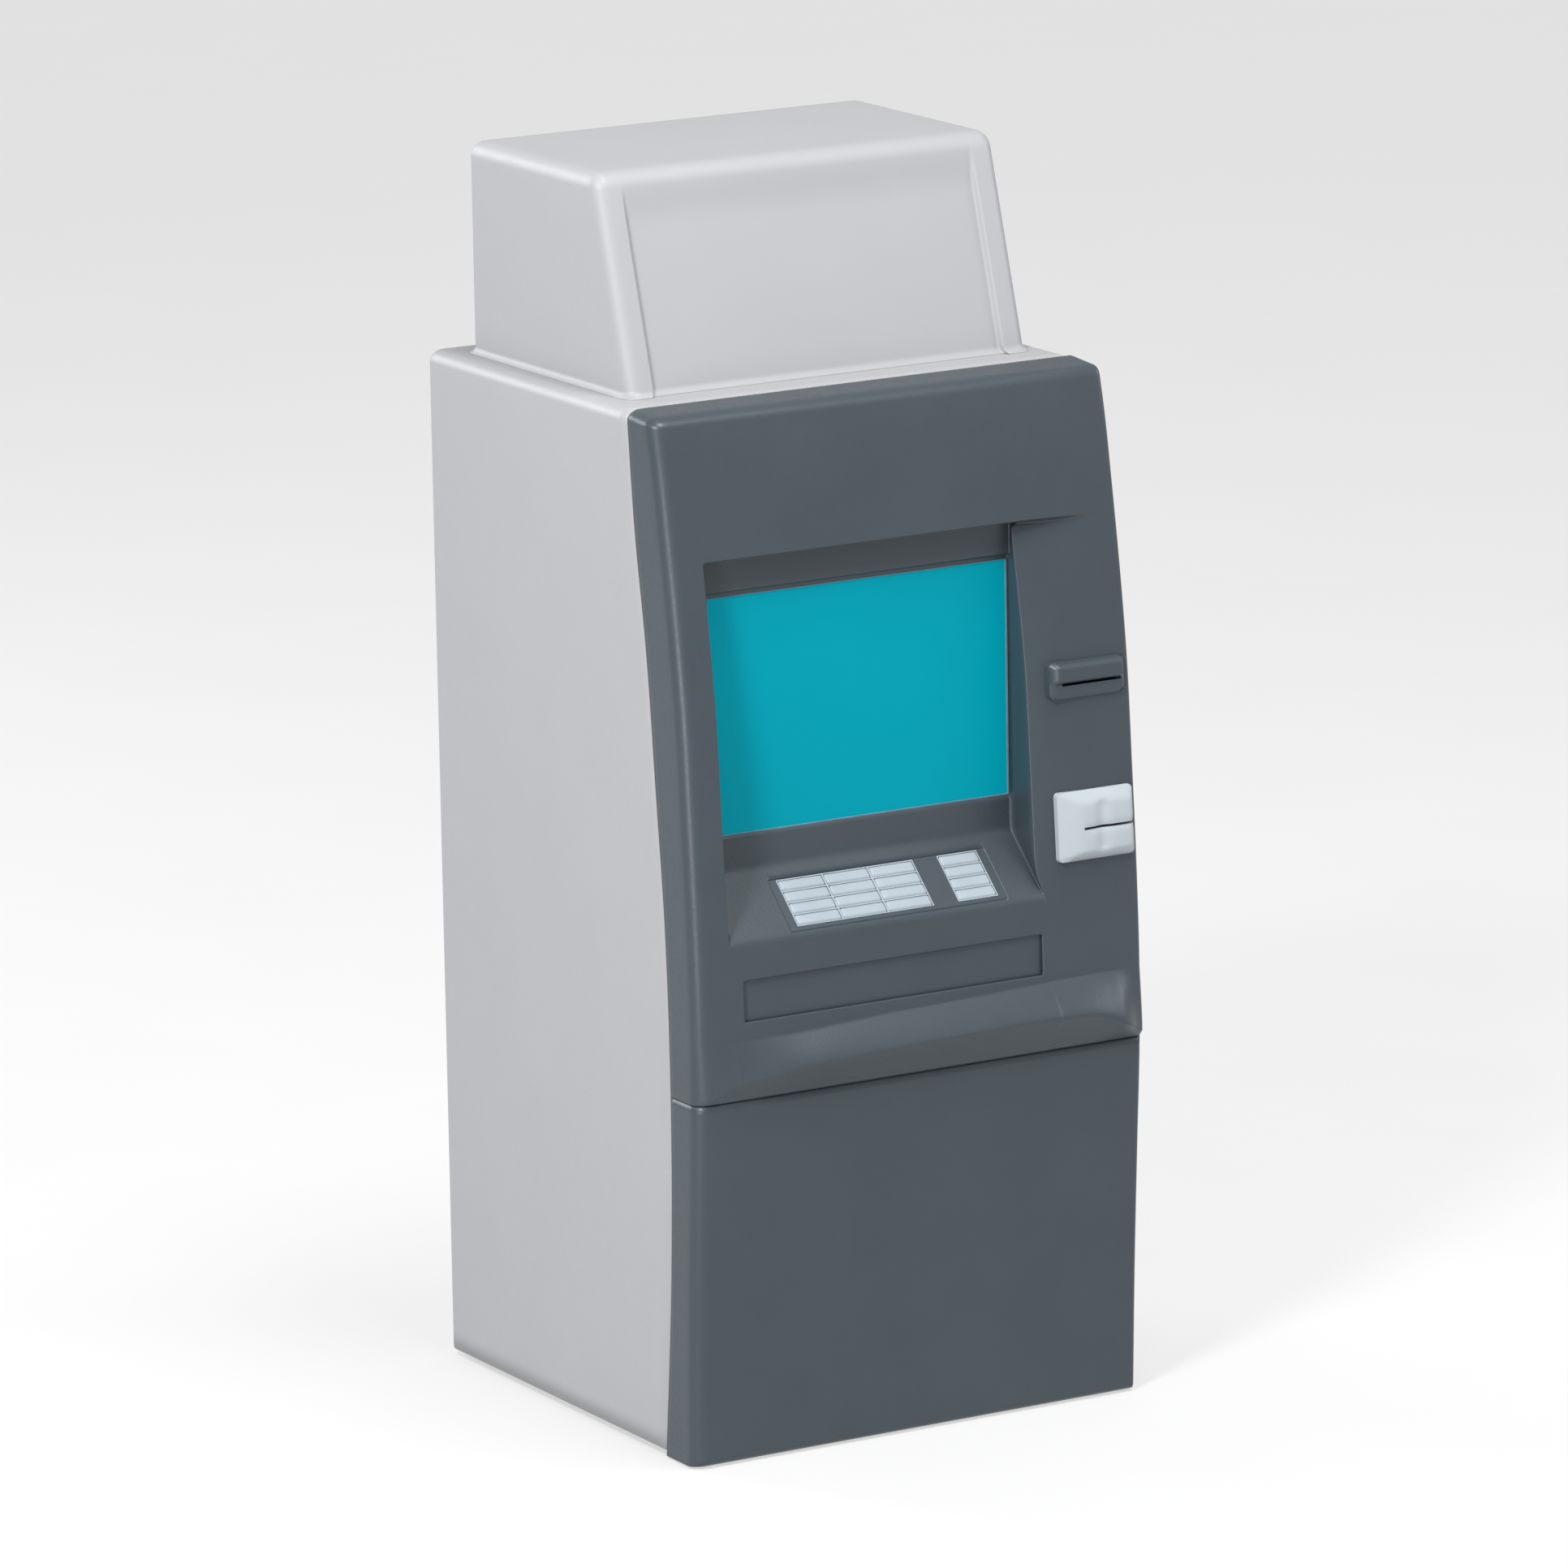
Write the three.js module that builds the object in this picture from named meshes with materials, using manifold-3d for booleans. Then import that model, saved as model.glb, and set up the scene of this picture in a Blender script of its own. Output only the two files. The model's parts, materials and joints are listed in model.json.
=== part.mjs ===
// Free-standing, rear-service cash machine: grey cabinet, curved dark fascia, topper and safe.
// Millimetres, +Z up, front towards -Y, origin on the floor at the middle of the footprint.
import * as THREE from 'three';
import { mergeVertices } from 'three/addons/utils/BufferGeometryUtils.js';
import Module from 'manifold-3d';

const wasm = await Module();
wasm.setup();

// ---- driving dimensions ----
const WIDTH = 610;
const DEPTH = 602;
const BODY_HEIGHT = 1245;
const TOTAL_HEIGHT = 1500;
const HALF = WIDTH / 2;
const FLOOR_GAP = 3;            // the sheet metal stops this far above the floor
const SPLIT = 443.5;            // height of the joint between upper fascia and lower panel
const GAP = 0.4;                // play between pieces that touch
const SEAM = 1;                 // half of the visible joint between casing and fascia
const SHEET = 3;                // casing sheet
const SHELL = 6;                // moulded fascia wall
const PAST = 10;                // cutting tools run this far past the face they cut
const OUTSIDE = -110;           // a depth well in front of everything
const BELOW = -20;              // heights well below and above the cabinet
const ABOVE = 1270;
const TOP_EDGE = 112;           // depth where the cabinet's sloping top band ends
const BAND_FALL = 4;            // the top band falls this much towards the front
const EDGE = 16;                // radius of the long outer edges
const CORNER = 20;              // radius of the rear corners seen from the side

// The front outline as [depth behind the nominal front plane, height].
const FRONT_POINTS = [[0, 0], [-6, 160], [-14, 310], [-21, 437], [-22, 530], [-17, 660], [-9, 780],
  [0, 900], [13, 1000], [29, 1100], [43, 1180], [54, 1231]];
// The line on the cabinet's sides where the casing meets the fascia.
const MATE_POINTS = [[70, BELOW], [48, 230], [42, 434], [48, 640], [63, 800], [80, 970], [100, 1100],
  [116, ABOVE]];
const FRONT_STEPS = 14;
const MATE_STEPS = 9;

// Recessed niche with the screen at its back and the keys on its sloping shelf.
const NICHE = { left: -255, right: 176, top: 1072, back: 60, shelfTop: 699, lipDepth: -14, lip: 632 };
const SCREEN = { left: -235, right: 172, bottom: 740, top: 1024, front: 60.6, thick: 3.8 };
const LEDGE = { left: -286, right: 300, top: 524, nose: 484, bottom: 444, reach: 30 };
const SHUTTER = {
  left: -240, right: 167, bottom: 537, top: 586, lap: 5, front: -17.4, thick: 4, travel: 54,
};
const CARD = {
  left: 193, right: 296, bottom: 668, top: 751, slit: 706, slitHeight: 6, corner: 6, proud: 12,
  scoop: { x: 260, radius: 16, deep: 5 },
};
const RECEIPT = {
  left: 190, right: 293, bottom: 862, top: 906, slit: 878.5, slitHeight: 6, corner: 6, lip: 8, hood: 14,
};
const BEZEL_BEVEL = 2.5;

// Keys: two blocks on the shelf, in the shelf's own plane.
const KEY = { thick: 7.5, proud: 2.5, pitchS: 16.6, height: 14, between: 3, edge: 1, play: 0.5 };
const KEY_BLOCKS = [
  { name: 'pin', left: -159, right: 26, columns: 3 },
  { name: 'side', left: 60, right: 114, columns: 1 },
];
const KEY_ROWS = 4;
const KEY_PLATE = { left: -170, right: 125, thick: 4, margin: 4.5 };
const KEY_HOUSING = { drop: 3, deep: 22, setback: 14 };

// Fascia hinge: the pin's line stands just outside the right side.
const HINGE = {
  x: HALF + 4.6, depth: 50, bottom: 470, knuckle: 75, count: 4, radius: 4.2, leaf: 3, wing: 44,
};

// ---- helpers ----
const y = (depth) => depth - DEPTH / 2;
const parts = new THREE.Group();

const YZ_TO_X = new THREE.Matrix4().makeBasis(
  new THREE.Vector3(0, 1, 0),
  new THREE.Vector3(0, 0, 1),
  new THREE.Vector3(1, 0, 0),
);

function shapeOf(points) {
  return new THREE.Shape(points.map(([u, v]) => new THREE.Vector2(u, v)));
}

function curvePoints(points, steps, shift = 0) {
  const curve = new THREE.SplineCurve(points.map(([d, z]) => new THREE.Vector2(d, z)));
  return curve.getPoints(steps).map((p) => [p.x + shift, p.y]);
}

function depthAt(points, z) {
  const line = curvePoints(points, 60);
  const after = line.findIndex((p) => p[1] >= z);
  const [d0, z0] = line[after - 1];
  const [d1, z1] = line[after];
  return d0 + ((d1 - d0) * (z - z0)) / (z1 - z0);
}

function extrude(shape, length, bevel, segments) {
  return new THREE.ExtrudeGeometry(shape, {
    depth: length - 2 * bevel,
    curveSegments: 5,
    bevelEnabled: bevel > 0,
    bevelThickness: bevel,
    bevelSize: bevel,
    bevelOffset: -bevel,
    bevelSegments: segments,
  }).translate(0, 0, bevel);
}

// A side-view outline of [depth, height] points, drawn out along X.
function alongX(outline, x0, x1, bevel = 0, segments = 3) {
  const shape = shapeOf(outline.map(([d, z]) => [y(d), z]));
  return extrude(shape, x1 - x0, bevel, segments).translate(0, 0, x0).applyMatrix4(YZ_TO_X);
}

// A plan outline of [x, depth] points, drawn out upwards.
function alongZ(outline, z0, z1, bevel = 0, segments = 2) {
  const shape = shapeOf(outline.map(([x, d]) => [x, y(d)]));
  return extrude(shape, z1 - z0, bevel, segments).translate(0, 0, z0);
}

function rectangle(u0, u1, v0, v1) {
  return [[u0, v0], [u1, v0], [u1, v1], [u0, v1]];
}

// A box between two corners, in the frame of the mesh that holds it.
function boxBetween(x0, x1, y0, y1, z0, z1) {
  const box = new THREE.BoxGeometry(x1 - x0, y1 - y0, z1 - z0);
  return box.translate((x0 + x1) / 2, (y0 + y1) / 2, (z0 + z1) / 2);
}

// The same with depths behind the front plane.
const block = (x0, x1, d0, d1, z0, z1) => boxBetween(x0, x1, y(d0), y(d1), z0, z1);

// A round bar along X, Y or Z, between two positions on that axis.
function bar(axis, radius, from, to, sides = 20) {
  const geometry = new THREE.CylinderGeometry(radius, radius, to - from, sides);
  if (axis === 'x') geometry.rotateZ(Math.PI / 2);
  if (axis === 'z') geometry.rotateX(Math.PI / 2);
  const middle = (from + to) / 2;
  return geometry.translate(axis === 'x' ? middle : 0, axis === 'y' ? middle : 0, axis === 'z' ? middle : 0);
}

function solid(geometry) {
  const bare = geometry.clone();
  bare.deleteAttribute('normal');
  bare.deleteAttribute('uv');
  const merged = mergeVertices(bare, 1e-4);
  return new wasm.Manifold(new wasm.Mesh({
    numProp: 3,
    vertProperties: merged.attributes.position.array,
    triVerts: new Uint32Array(merged.index.array),
  }));
}

const join = (...geometries) => geometries.map(solid).reduce((all, next) => all.add(next));
const cut = (body, ...tools) => tools.map(solid).reduce((rest, tool) => rest.subtract(tool), body);

function shellGeometry(body) {
  const mesh = body.getMesh();
  const geometry = new THREE.BufferGeometry();
  geometry.setAttribute('position', new THREE.BufferAttribute(new Float32Array(mesh.vertProperties), 3));
  geometry.setIndex(new THREE.BufferAttribute(new Uint32Array(mesh.triVerts), 1));
  geometry.computeVertexNormals();
  return geometry;
}

function finish(color, roughness, metalness = 0) {
  return new THREE.MeshStandardMaterial({ color, roughness, metalness });
}

function add(name, shape, material, parent = parts) {
  const geometry = shape.isBufferGeometry ? shape : shellGeometry(shape);
  const mesh = new THREE.Mesh(geometry, material.clone());
  mesh.name = name;
  parent.add(mesh);
  return mesh;
}

const LIGHT_GREY = finish(0xc4c5c9, 0.5);
const DARK_GREY = finish(0x57626b, 0.55);
const KEY_WHITE = finish(0xbcc6cd, 0.5);
const TEAL = finish(0x0093a4, 0.3);
const STEEL = finish(0x8d9298, 0.45, 0.8);
const GALVANISED = finish(0xa9adb0, 0.5, 0.7);
const BLACK = finish(0x1d1f22, 0.6);
const SAFE_PAINT = finish(0x4b5157, 0.6, 0.2);
const PAPER = finish(0xf1efe8, 0.9);

// ---- cabinet shell ----
function rearCorner(centreDepth, centreZ, radius, from) {
  const steps = 4;
  return Array.from({ length: steps + 1 }, (_, i) => {
    const angle = from - (i * Math.PI) / 2 / steps;
    return [centreDepth + radius * Math.cos(angle), centreZ + radius * Math.sin(angle)];
  });
}

// Side view of the whole cabinet, inset by a wall. A hollow runs out through the open bottom.
function cabinetOutline(inset, bottom) {
  const radius = CORNER - inset;
  const front = curvePoints(FRONT_POINTS, FRONT_STEPS, inset).map(([d, z]) => [d, Math.max(z, bottom)]);
  const lowest = inset ? [[DEPTH - inset, bottom]]
    : rearCorner(DEPTH - CORNER, bottom + CORNER, CORNER, 0);
  return [
    ...front.slice(0, -1),
    [front.at(-1)[0], front.at(-1)[1] - inset],
    [front.at(-1)[0] + 9, BODY_HEIGHT - BAND_FALL - inset],
    [TOP_EDGE, BODY_HEIGHT - inset],
    ...rearCorner(DEPTH - CORNER, BODY_HEIGHT - CORNER, radius, Math.PI / 2),
    ...lowest,
  ];
}

function frontZone(shift, bottom, top) {
  const line = curvePoints(MATE_POINTS, MATE_STEPS, shift);
  const reach = HALF + PAST;
  const zone = solid(alongX([[OUTSIDE, BELOW], ...line, [OUTSIDE, ABOVE]], -reach, reach));
  return zone.intersect(solid(block(-reach, reach, OUTSIDE - PAST, DEPTH / 2, bottom, top)));
}

const cabinetBlank = () => solid(alongX(cabinetOutline(0, FLOOR_GAP), -HALF, HALF, EDGE));

function cabinetHollow(wall, bottom) {
  return alongX(cabinetOutline(wall, bottom), -HALF + wall, HALF - wall, EDGE - SHELL, 2);
}

const REAR_OPENING = { side: 283, bottom: 44, top: 1222 };
const INLET = { left: 196, right: 244, bottom: 10, top: 38, front: 575, proud: 1, well: 586, rim: 6 };

function casing() {
  const { side, bottom, top } = REAR_OPENING;
  const [inside, behind] = [DEPTH - CORNER, DEPTH + PAST];
  return cut(
    cabinetBlank().subtract(frontZone(SEAM, BELOW, ABOVE)),
    cabinetHollow(SHEET, BELOW),
    block(-side, side, inside, behind, bottom, top),
    block(INLET.left, INLET.right, inside, behind, INLET.bottom, INLET.top),
  );
}

function lowerPanel() {
  const region = frontZone(-SEAM, 0, SPLIT - SEAM);
  return cut(cabinetBlank().intersect(region), cabinetHollow(SHELL, BELOW));
}

// ---- upper fascia ----
function nicheOutline(grow) {
  const { top, back, shelfTop, lipDepth, lip } = NICHE;
  const slope = (shelfTop - lip) / (back - lipDepth);
  const drop = grow * Math.hypot(1, slope);
  return [
    [OUTSIDE, top + grow],
    [back + grow, top + grow],
    [back + grow, shelfTop - drop + grow * slope],
    [OUTSIDE, lip - drop - (lipDepth - OUTSIDE) * slope],
  ];
}

// The hand ledge's side view: a rounded roll, rooted inside the fascia's wall.
function ledge() {
  const { top, nose, bottom, reach, left, right } = LEDGE;
  const face = depthAt(FRONT_POINTS, nose);
  const root = face + SHELL - 2;
  const section = [
    [root, bottom + SEAM],
    [root, top],
    [face - reach * 0.35, top - 6],
    [face - reach * 0.75, top - 18],
    [face - reach, nose + 8],
    [face - reach, nose - 8],
    [face - reach * 0.7, nose - 18],
  ];
  return alongX(section.reverse(), left, right, 5, 1);
}

function fasciaShell() {
  const bottom = SPLIT + SEAM;
  const wall = SHELL;
  const aboveFloor = solid(block(-HALF, HALF, OUTSIDE, DEPTH / 2, bottom + wall, ABOVE));
  let body = cabinetBlank().intersect(frontZone(-SEAM, bottom, ABOVE));
  body = body.subtract(solid(cabinetHollow(wall, 0)).intersect(aboveFloor));
  const tub = solid(alongX(nicheOutline(wall), NICHE.left - wall, NICHE.right + wall));
  body = body.add(tub.intersect(cabinetBlank()));
  body = body.add(solid(ledge()));
  return cut(body, alongX(nicheOutline(0), NICHE.left, NICHE.right));
}

function fascia() {
  const { left, right, bottom, top, lap, travel } = SHUTTER;
  const s = SCREEN;
  const inFront = OUTSIDE / 2;
  const behind = 30;
  const keyHole = boxBetween(KEY_PLATE.left, KEY_PLATE.right, KEY_SPAN.low, KEY_SPAN.high, -2 * PAST, PAST);
  keyHole.applyMatrix4(SHELF_MATRIX);
  return cut(
    fasciaShell(),
    block(s.left - GAP, s.right + GAP, behind, s.front + behind, s.bottom - GAP, s.top + GAP),
    block(left, right, inFront, 0, bottom, top),
    block(left - 2 * lap, right + 2 * lap, SHUTTER.front - GAP, 0, bottom - travel, top + 2 * lap),
    block(CARD.left + 30, CARD.right - 3, inFront, behind, CARD.slit - 6, CARD.slit + 6),
    block(RECEIPT.left + 14, RECEIPT.right - 5, inFront, behind, RECEIPT.slit - 5, RECEIPT.slit + 5),
    keyHole,
  );
}

// ---- keys on the shelf ----
const SHELF_ANGLE = Math.atan2(NICHE.shelfTop - NICHE.lip, NICHE.back - NICHE.lipDepth);
const SHELF_MIDDLE = [(NICHE.back + NICHE.lipDepth) / 2, (NICHE.shelfTop + NICHE.lip) / 2];
const KEY_CENTRE = -8.5;         // the key block's middle, measured up the slope from the shelf's middle
const KEY_SPAN = {
  low: KEY_CENTRE - (KEY_ROWS * KEY.pitchS) / 2 - KEY_PLATE.margin,
  high: KEY_CENTRE + (KEY_ROWS * KEY.pitchS) / 2 + KEY_PLATE.margin,
};

const shelf = new THREE.Group();
shelf.position.set(0, y(SHELF_MIDDLE[0]), SHELF_MIDDLE[1]);
shelf.rotation.x = SHELF_ANGLE;
shelf.updateMatrix();
const SHELF_MATRIX = shelf.matrix;
parts.add(shelf);

function keyCells() {
  return KEY_BLOCKS.flatMap(({ name, left, right, columns }) => {
    const pitch = (right - left) / columns;
    return Array.from({ length: columns * KEY_ROWS }, (_, i) => ({
      name: `key_${name}_${i + 1}`,
      x: left + pitch * ((i % columns) + 0.5),
      s: KEY_CENTRE + KEY.pitchS * ((KEY_ROWS - 1) / 2 - Math.floor(i / columns)),
      width: pitch - KEY.between,
    }));
  });
}

function keypadPlate() {
  const plate = boxBetween(KEY_PLATE.left + GAP, KEY_PLATE.right - GAP, KEY_SPAN.low + GAP,
    KEY_SPAN.high - GAP, -KEY_PLATE.thick, 0);
  const holes = keyCells().map(({ x, s, width }) => {
    const w = width / 2 + KEY.play;
    const h = KEY.height / 2 + KEY.play;
    return boxBetween(x - w, x + w, s - h, s + h, -KEY_PLATE.thick - PAST, PAST);
  });
  return cut(solid(plate), ...holes);
}

function keyCap({ width }) {
  const shape = shapeOf(rectangle(-width / 2, width / 2, -KEY.height / 2, KEY.height / 2));
  return extrude(shape, KEY.thick, KEY.edge, 1);
}

function addKeys() {
  add('keypad_plate', keypadPlate(), DARK_GREY, shelf);
  for (const cell of keyCells()) {
    const key = add(cell.name, keyCap(cell), KEY_WHITE, shelf);
    key.position.set(cell.x, cell.s, KEY.proud - KEY.thick);
  }
  const below = KEY.proud - KEY.thick - KEY_HOUSING.drop;
  add('keypad_housing', boxBetween(KEY_PLATE.left, KEY_PLATE.right, KEY_SPAN.low + KEY_HOUSING.setback,
    KEY_SPAN.high, below - KEY_HOUSING.deep, below), BLACK, shelf);
}

// ---- bezels on the right column ----
// A group whose local -Y looks straight out of the fascia at one height.
function onFascia(z) {
  const rise = 20;
  const lean = Math.atan2(depthAt(FRONT_POINTS, z + rise) - depthAt(FRONT_POINTS, z - rise), 2 * rise);
  const group = new THREE.Group();
  group.position.set(0, y(depthAt(FRONT_POINTS, z)) - GAP, z);
  group.rotation.x = -lean;
  parts.add(group);
  return group;
}

// A rounded plate standing off the fascia towards -Y.
function facePlate(x0, x1, z0, z1, radius, proud, bevel) {
  const shape = new THREE.Shape();
  shape.moveTo(x0 + radius, z0);
  shape.lineTo(x1 - radius, z0);
  shape.absarc(x1 - radius, z0 + radius, radius, -Math.PI / 2, 0);
  shape.lineTo(x1, z1 - radius);
  shape.absarc(x1 - radius, z1 - radius, radius, 0, Math.PI / 2);
  shape.lineTo(x0 + radius, z1);
  shape.absarc(x0 + radius, z1 - radius, radius, Math.PI / 2, Math.PI);
  shape.lineTo(x0, z0 + radius);
  shape.absarc(x0 + radius, z0 + radius, radius, Math.PI, 1.5 * Math.PI);
  return extrude(shape, proud, bevel, 2).rotateX(Math.PI / 2);
}

// A slit right through a bezel, at a height measured from the bezel's middle.
function slit(x0, x1, z, height) {
  return boxBetween(x0, x1, -3 * PAST, PAST, z - height / 2, z + height / 2);
}

function addCardBezel() {
  const { left, right, bottom, top, corner, proud, scoop } = CARD;
  const middle = (bottom + top) / 2;
  const plate = facePlate(left, right, bottom - middle, top - middle, corner, proud, BEZEL_BEVEL);
  const fingerScoop = bar('z', scoop.radius, bottom - top, top - bottom, 24);
  add('card_slot_bezel', cut(
    solid(plate),
    slit(left + 33, right + PAST, CARD.slit - middle, CARD.slitHeight),
    fingerScoop.translate(scoop.x, scoop.deep - scoop.radius - proud, 0),
  ), KEY_WHITE, onFascia(middle));
}

function addReceiptBezel() {
  const { left, right, bottom, top, corner, lip, hood } = RECEIPT;
  const middle = (bottom + top) / 2;
  const line = RECEIPT.slit - middle;
  const lowerLip = facePlate(left, right, bottom - middle, top - middle, corner, lip, BEZEL_BEVEL);
  const upperHood = facePlate(left, right, line + 1, top - middle, corner - 1, hood, BEZEL_BEVEL);
  add('receipt_slot_bezel', cut(
    join(lowerLip, upperHood),
    slit(left + 15, right - 6, line, RECEIPT.slitHeight),
  ), DARK_GREY, onFascia(middle));
}

// ---- fascia hinge and latch ----
function hingeLeaf(direction, parity) {
  const { radius, knuckle, count, bottom, leaf } = HINGE;
  const clear = radius + 0.8;
  const side = (a, b) => (direction > 0 ? [a, b] : [-b, -a]);
  const length = knuckle * count;
  const out = -radius;
  const [p0, p1] = side(clear, HINGE.wing);
  let body = solid(boxBetween(out, out + leaf, p0, p1, 0, length));
  for (let i = parity; i < count; i += 2) {
    const from = i * knuckle + GAP;
    const to = (i + 1) * knuckle - GAP;
    const [w0, w1] = side(0, clear + 1);
    body = body.add(solid(boxBetween(out, out + leaf, w0, w1, from, to)));
    body = body.add(solid(bar('z', radius, from, to, 14)));
  }
  return { body, bottom };
}

function addHinge() {
  for (const [name, direction, parity] of [['hinge_frame_leaf', 1, 0], ['hinge_fascia_leaf', -1, 1]]) {
    const { body, bottom } = hingeLeaf(direction, parity);
    add(name, body, STEEL).position.set(HINGE.x, y(HINGE.depth), bottom);
  }
}

const LATCH = { x: -262, depth: 100, z: 600, thick: 8, release: THREE.MathUtils.degToRad(14) };
const STRIKE = { right: -278, front: 30, rear: 38, bottom: 594, top: 614 };

// The hook's pivot is its origin; its beak lies in front of the strike once it is turned home.
function addLatch() {
  const { right, front, rear, bottom, top } = STRIKE;
  add('latch_strike', block(-HALF + SHELL + GAP, right, front, rear, bottom, top), STEEL);
  const outline = [[-8, 8], [8, 8], [8, -82], [-22, -82], [-22, -75], [-5, -75], [-8, -66]];
  const geometry = extrude(shapeOf(outline.reverse()), LATCH.thick, 0, 1);
  const hook = add('latch_hook', geometry, STEEL);
  hook.position.set(LATCH.x, y(LATCH.depth), LATCH.z);
  hook.rotation.z = LATCH.release;
}

// ---- topper ----
const TOPPER = { side: 33, front: 164, frontTop: 239, rear: 547, wall: 5, rib: 37, edge: 18, round: 20 };
const PANEL = { recess: 4, thick: 4, seat: 8.4, frame: 14, top: 1484, border: 16 };

function topperFront(z, offset) {
  const lean = (TOPPER.frontTop - TOPPER.front) / (TOTAL_HEIGHT - BODY_HEIGHT);
  return TOPPER.front + offset + (z - BODY_HEIGHT) * lean;
}

function topperOutline(inset, frontInset) {
  const bottom = BODY_HEIGHT + GAP - (inset ? PAST : 0);
  const top = TOTAL_HEIGHT - inset;
  const radius = TOPPER.round - inset;
  const chamfer = inset ? 6 : 11;
  const shoulder = top - chamfer * 1.3;
  return [
    [topperFront(bottom, frontInset), bottom],
    [topperFront(shoulder, frontInset), shoulder],
    [topperFront(top, frontInset + chamfer * 0.8), top],
    ...rearCorner(TOPPER.rear - TOPPER.round, TOTAL_HEIGHT - TOPPER.round, radius, Math.PI / 2),
    [TOPPER.rear - inset, bottom],
  ];
}

// A slab parallel to the topper's leaning front, between two depths behind it.
function topperSlab(from, to, bottom, top, x) {
  const lower = [[topperFront(bottom, from), bottom], [topperFront(bottom, to), bottom]];
  const upper = [[topperFront(top, to), top], [topperFront(top, from), top]];
  return alongX([...lower, ...upper], -x, x);
}

function addTopper() {
  const half = HALF - TOPPER.side;
  const window = half - TOPPER.rib;
  const low = BODY_HEIGHT + GAP;
  const { recess, thick, seat, frame, top, border } = PANEL;
  const inner = half - TOPPER.wall;
  add('topper_housing', cut(
    solid(alongX(topperOutline(0, 0), -half, half, TOPPER.edge)),
    alongX(topperOutline(TOPPER.wall, frame), -inner, inner, 8, 2),
    topperSlab(-4 * PAST, seat, low - PAST, top, window),
    topperSlab(-4 * PAST, frame + PAST, low + border, top - border, window - border),
  ), LIGHT_GREY);
  add('topper_panel', topperSlab(recess, recess + thick, low, top - GAP, window - GAP), LIGHT_GREY);
  add('topper_light_bar', block(-190, 190, 250, 282, low, low + 24), PAPER);
}

// ---- safe and dispenser ----
const SAFE = { side: 270, front: 95, rear: 540, bottom: 42, top: 508, wall: 14, lip: 12 };
const SAFE_MOUTH = { side: 235, bottom: 78, top: 472 };
const NOTE_SLOT = { side: 85, from: 126, to: 146 };

function safeBody() {
  const { side, front, rear, bottom, top, wall, lip } = SAFE;
  const m = SAFE_MOUTH;
  return cut(
    solid(block(-side, side, front, rear, bottom, top)),
    block(-side + wall, side - wall, front + wall, rear - lip, bottom + wall, top - wall),
    block(-m.side, m.side, rear - lip - PAST, rear + PAST, m.bottom, m.top),
    block(-NOTE_SLOT.side, NOTE_SLOT.side, NOTE_SLOT.from, NOTE_SLOT.to, top - wall - PAST, top + PAST),
  );
}

const CASSETTE = { side: 100, front: 136, rear: 466, bottom: 64, height: 80, pitch: 86, count: 4 };
const DISPENSER = { room: 14, plate: 4, front: 116, rear: 480, bottom: 57, top: 492 };

function cassetteBox(level) {
  const { side, front, rear, bottom, height, pitch } = CASSETTE;
  const z = bottom + level * pitch;
  return alongX([[front, z], [rear, z], [rear, z + height], [front, z + height]], -side, side, 3, 1);
}

// The dispenser's frame is one sheet folded into a U, open at the rear.
function dispenserFrame() {
  const { plate, front, rear, bottom, top } = DISPENSER;
  const outer = CASSETTE.side + DISPENSER.room;
  const inner = outer - plate;
  return alongZ([[-outer, front], [outer, front], [outer, rear], [inner, rear],
    [inner, front + plate], [-inner, front + plate], [-inner, rear], [-outer, rear]], bottom, top);
}

function addSafe() {
  add('safe_body', safeBody(), SAFE_PAINT);
  add('dispenser_frame', dispenserFrame(), GALVANISED);
  for (let level = 0; level < CASSETTE.count; level += 1) {
    add(`cash_cassette_${level + 1}`, cassetteBox(level), BLACK);
  }
  add('reject_bin', cassetteBox(CASSETTE.count), BLACK);
}

const SAFE_DOOR = { front: 542, rear: 570, bottom: 50, top: 500, side: 262 };
const HANDLE = { x: 150, z: 300 };
const DIAL = { x: 60, z: 340 };

function addSafeDoor() {
  const { front, rear, bottom, top, side } = SAFE_DOOR;
  const face = y(rear) + GAP;
  add('safe_door', alongX(rectangle(front, rear, bottom, top), -side, side, 3, 1), SAFE_PAINT);
  const handle = join(
    bar('y', 15, face, y(rear + 12), 20),
    bar('y', 9, y(rear + 11), y(rear + 20), 16),
    boxBetween(-10, 10, y(rear + 18), y(rear + 29), -110, 12),
  );
  add('safe_handle', handle, STEEL).position.set(HANDLE.x, 0, HANDLE.z);
  const dial = join(bar('y', 30, face, y(rear + 7), 28), bar('y', 20, y(rear + 6), y(rear + 24), 20));
  add('lock_dial', dial, BLACK).position.set(DIAL.x, 0, DIAL.z);
  add('bolt_bar', block(188, 228, 504, 524, 150, 400), STEEL);
}

// ---- service equipment above the safe ----
const DECK_PLATE = 4;
const CASE_SHEET = 2;

function openBox(x0, x1, d0, d1, z0, z1, wall) {
  return cut(
    solid(block(x0, x1, d0, d1, z0, z1)),
    block(x0 + wall, x1 - wall, d0 + wall, d1 + PAST, z0 + wall, z1 - wall),
  );
}

const READER = { left: 190.6, right: 290, front: 4, rear: 214, bottom: 690, top: 722 };
const PRINTER = { left: 190.6, right: 284, front: 12, rear: 234, bottom: 852, top: 912 };
const ROLL = { depth: 150, z: 950, radius: 32, bore: 7, left: 202, right: 272 };
const EAR = { thick: 4, half: 16, root: 5, above: 12 };

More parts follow.
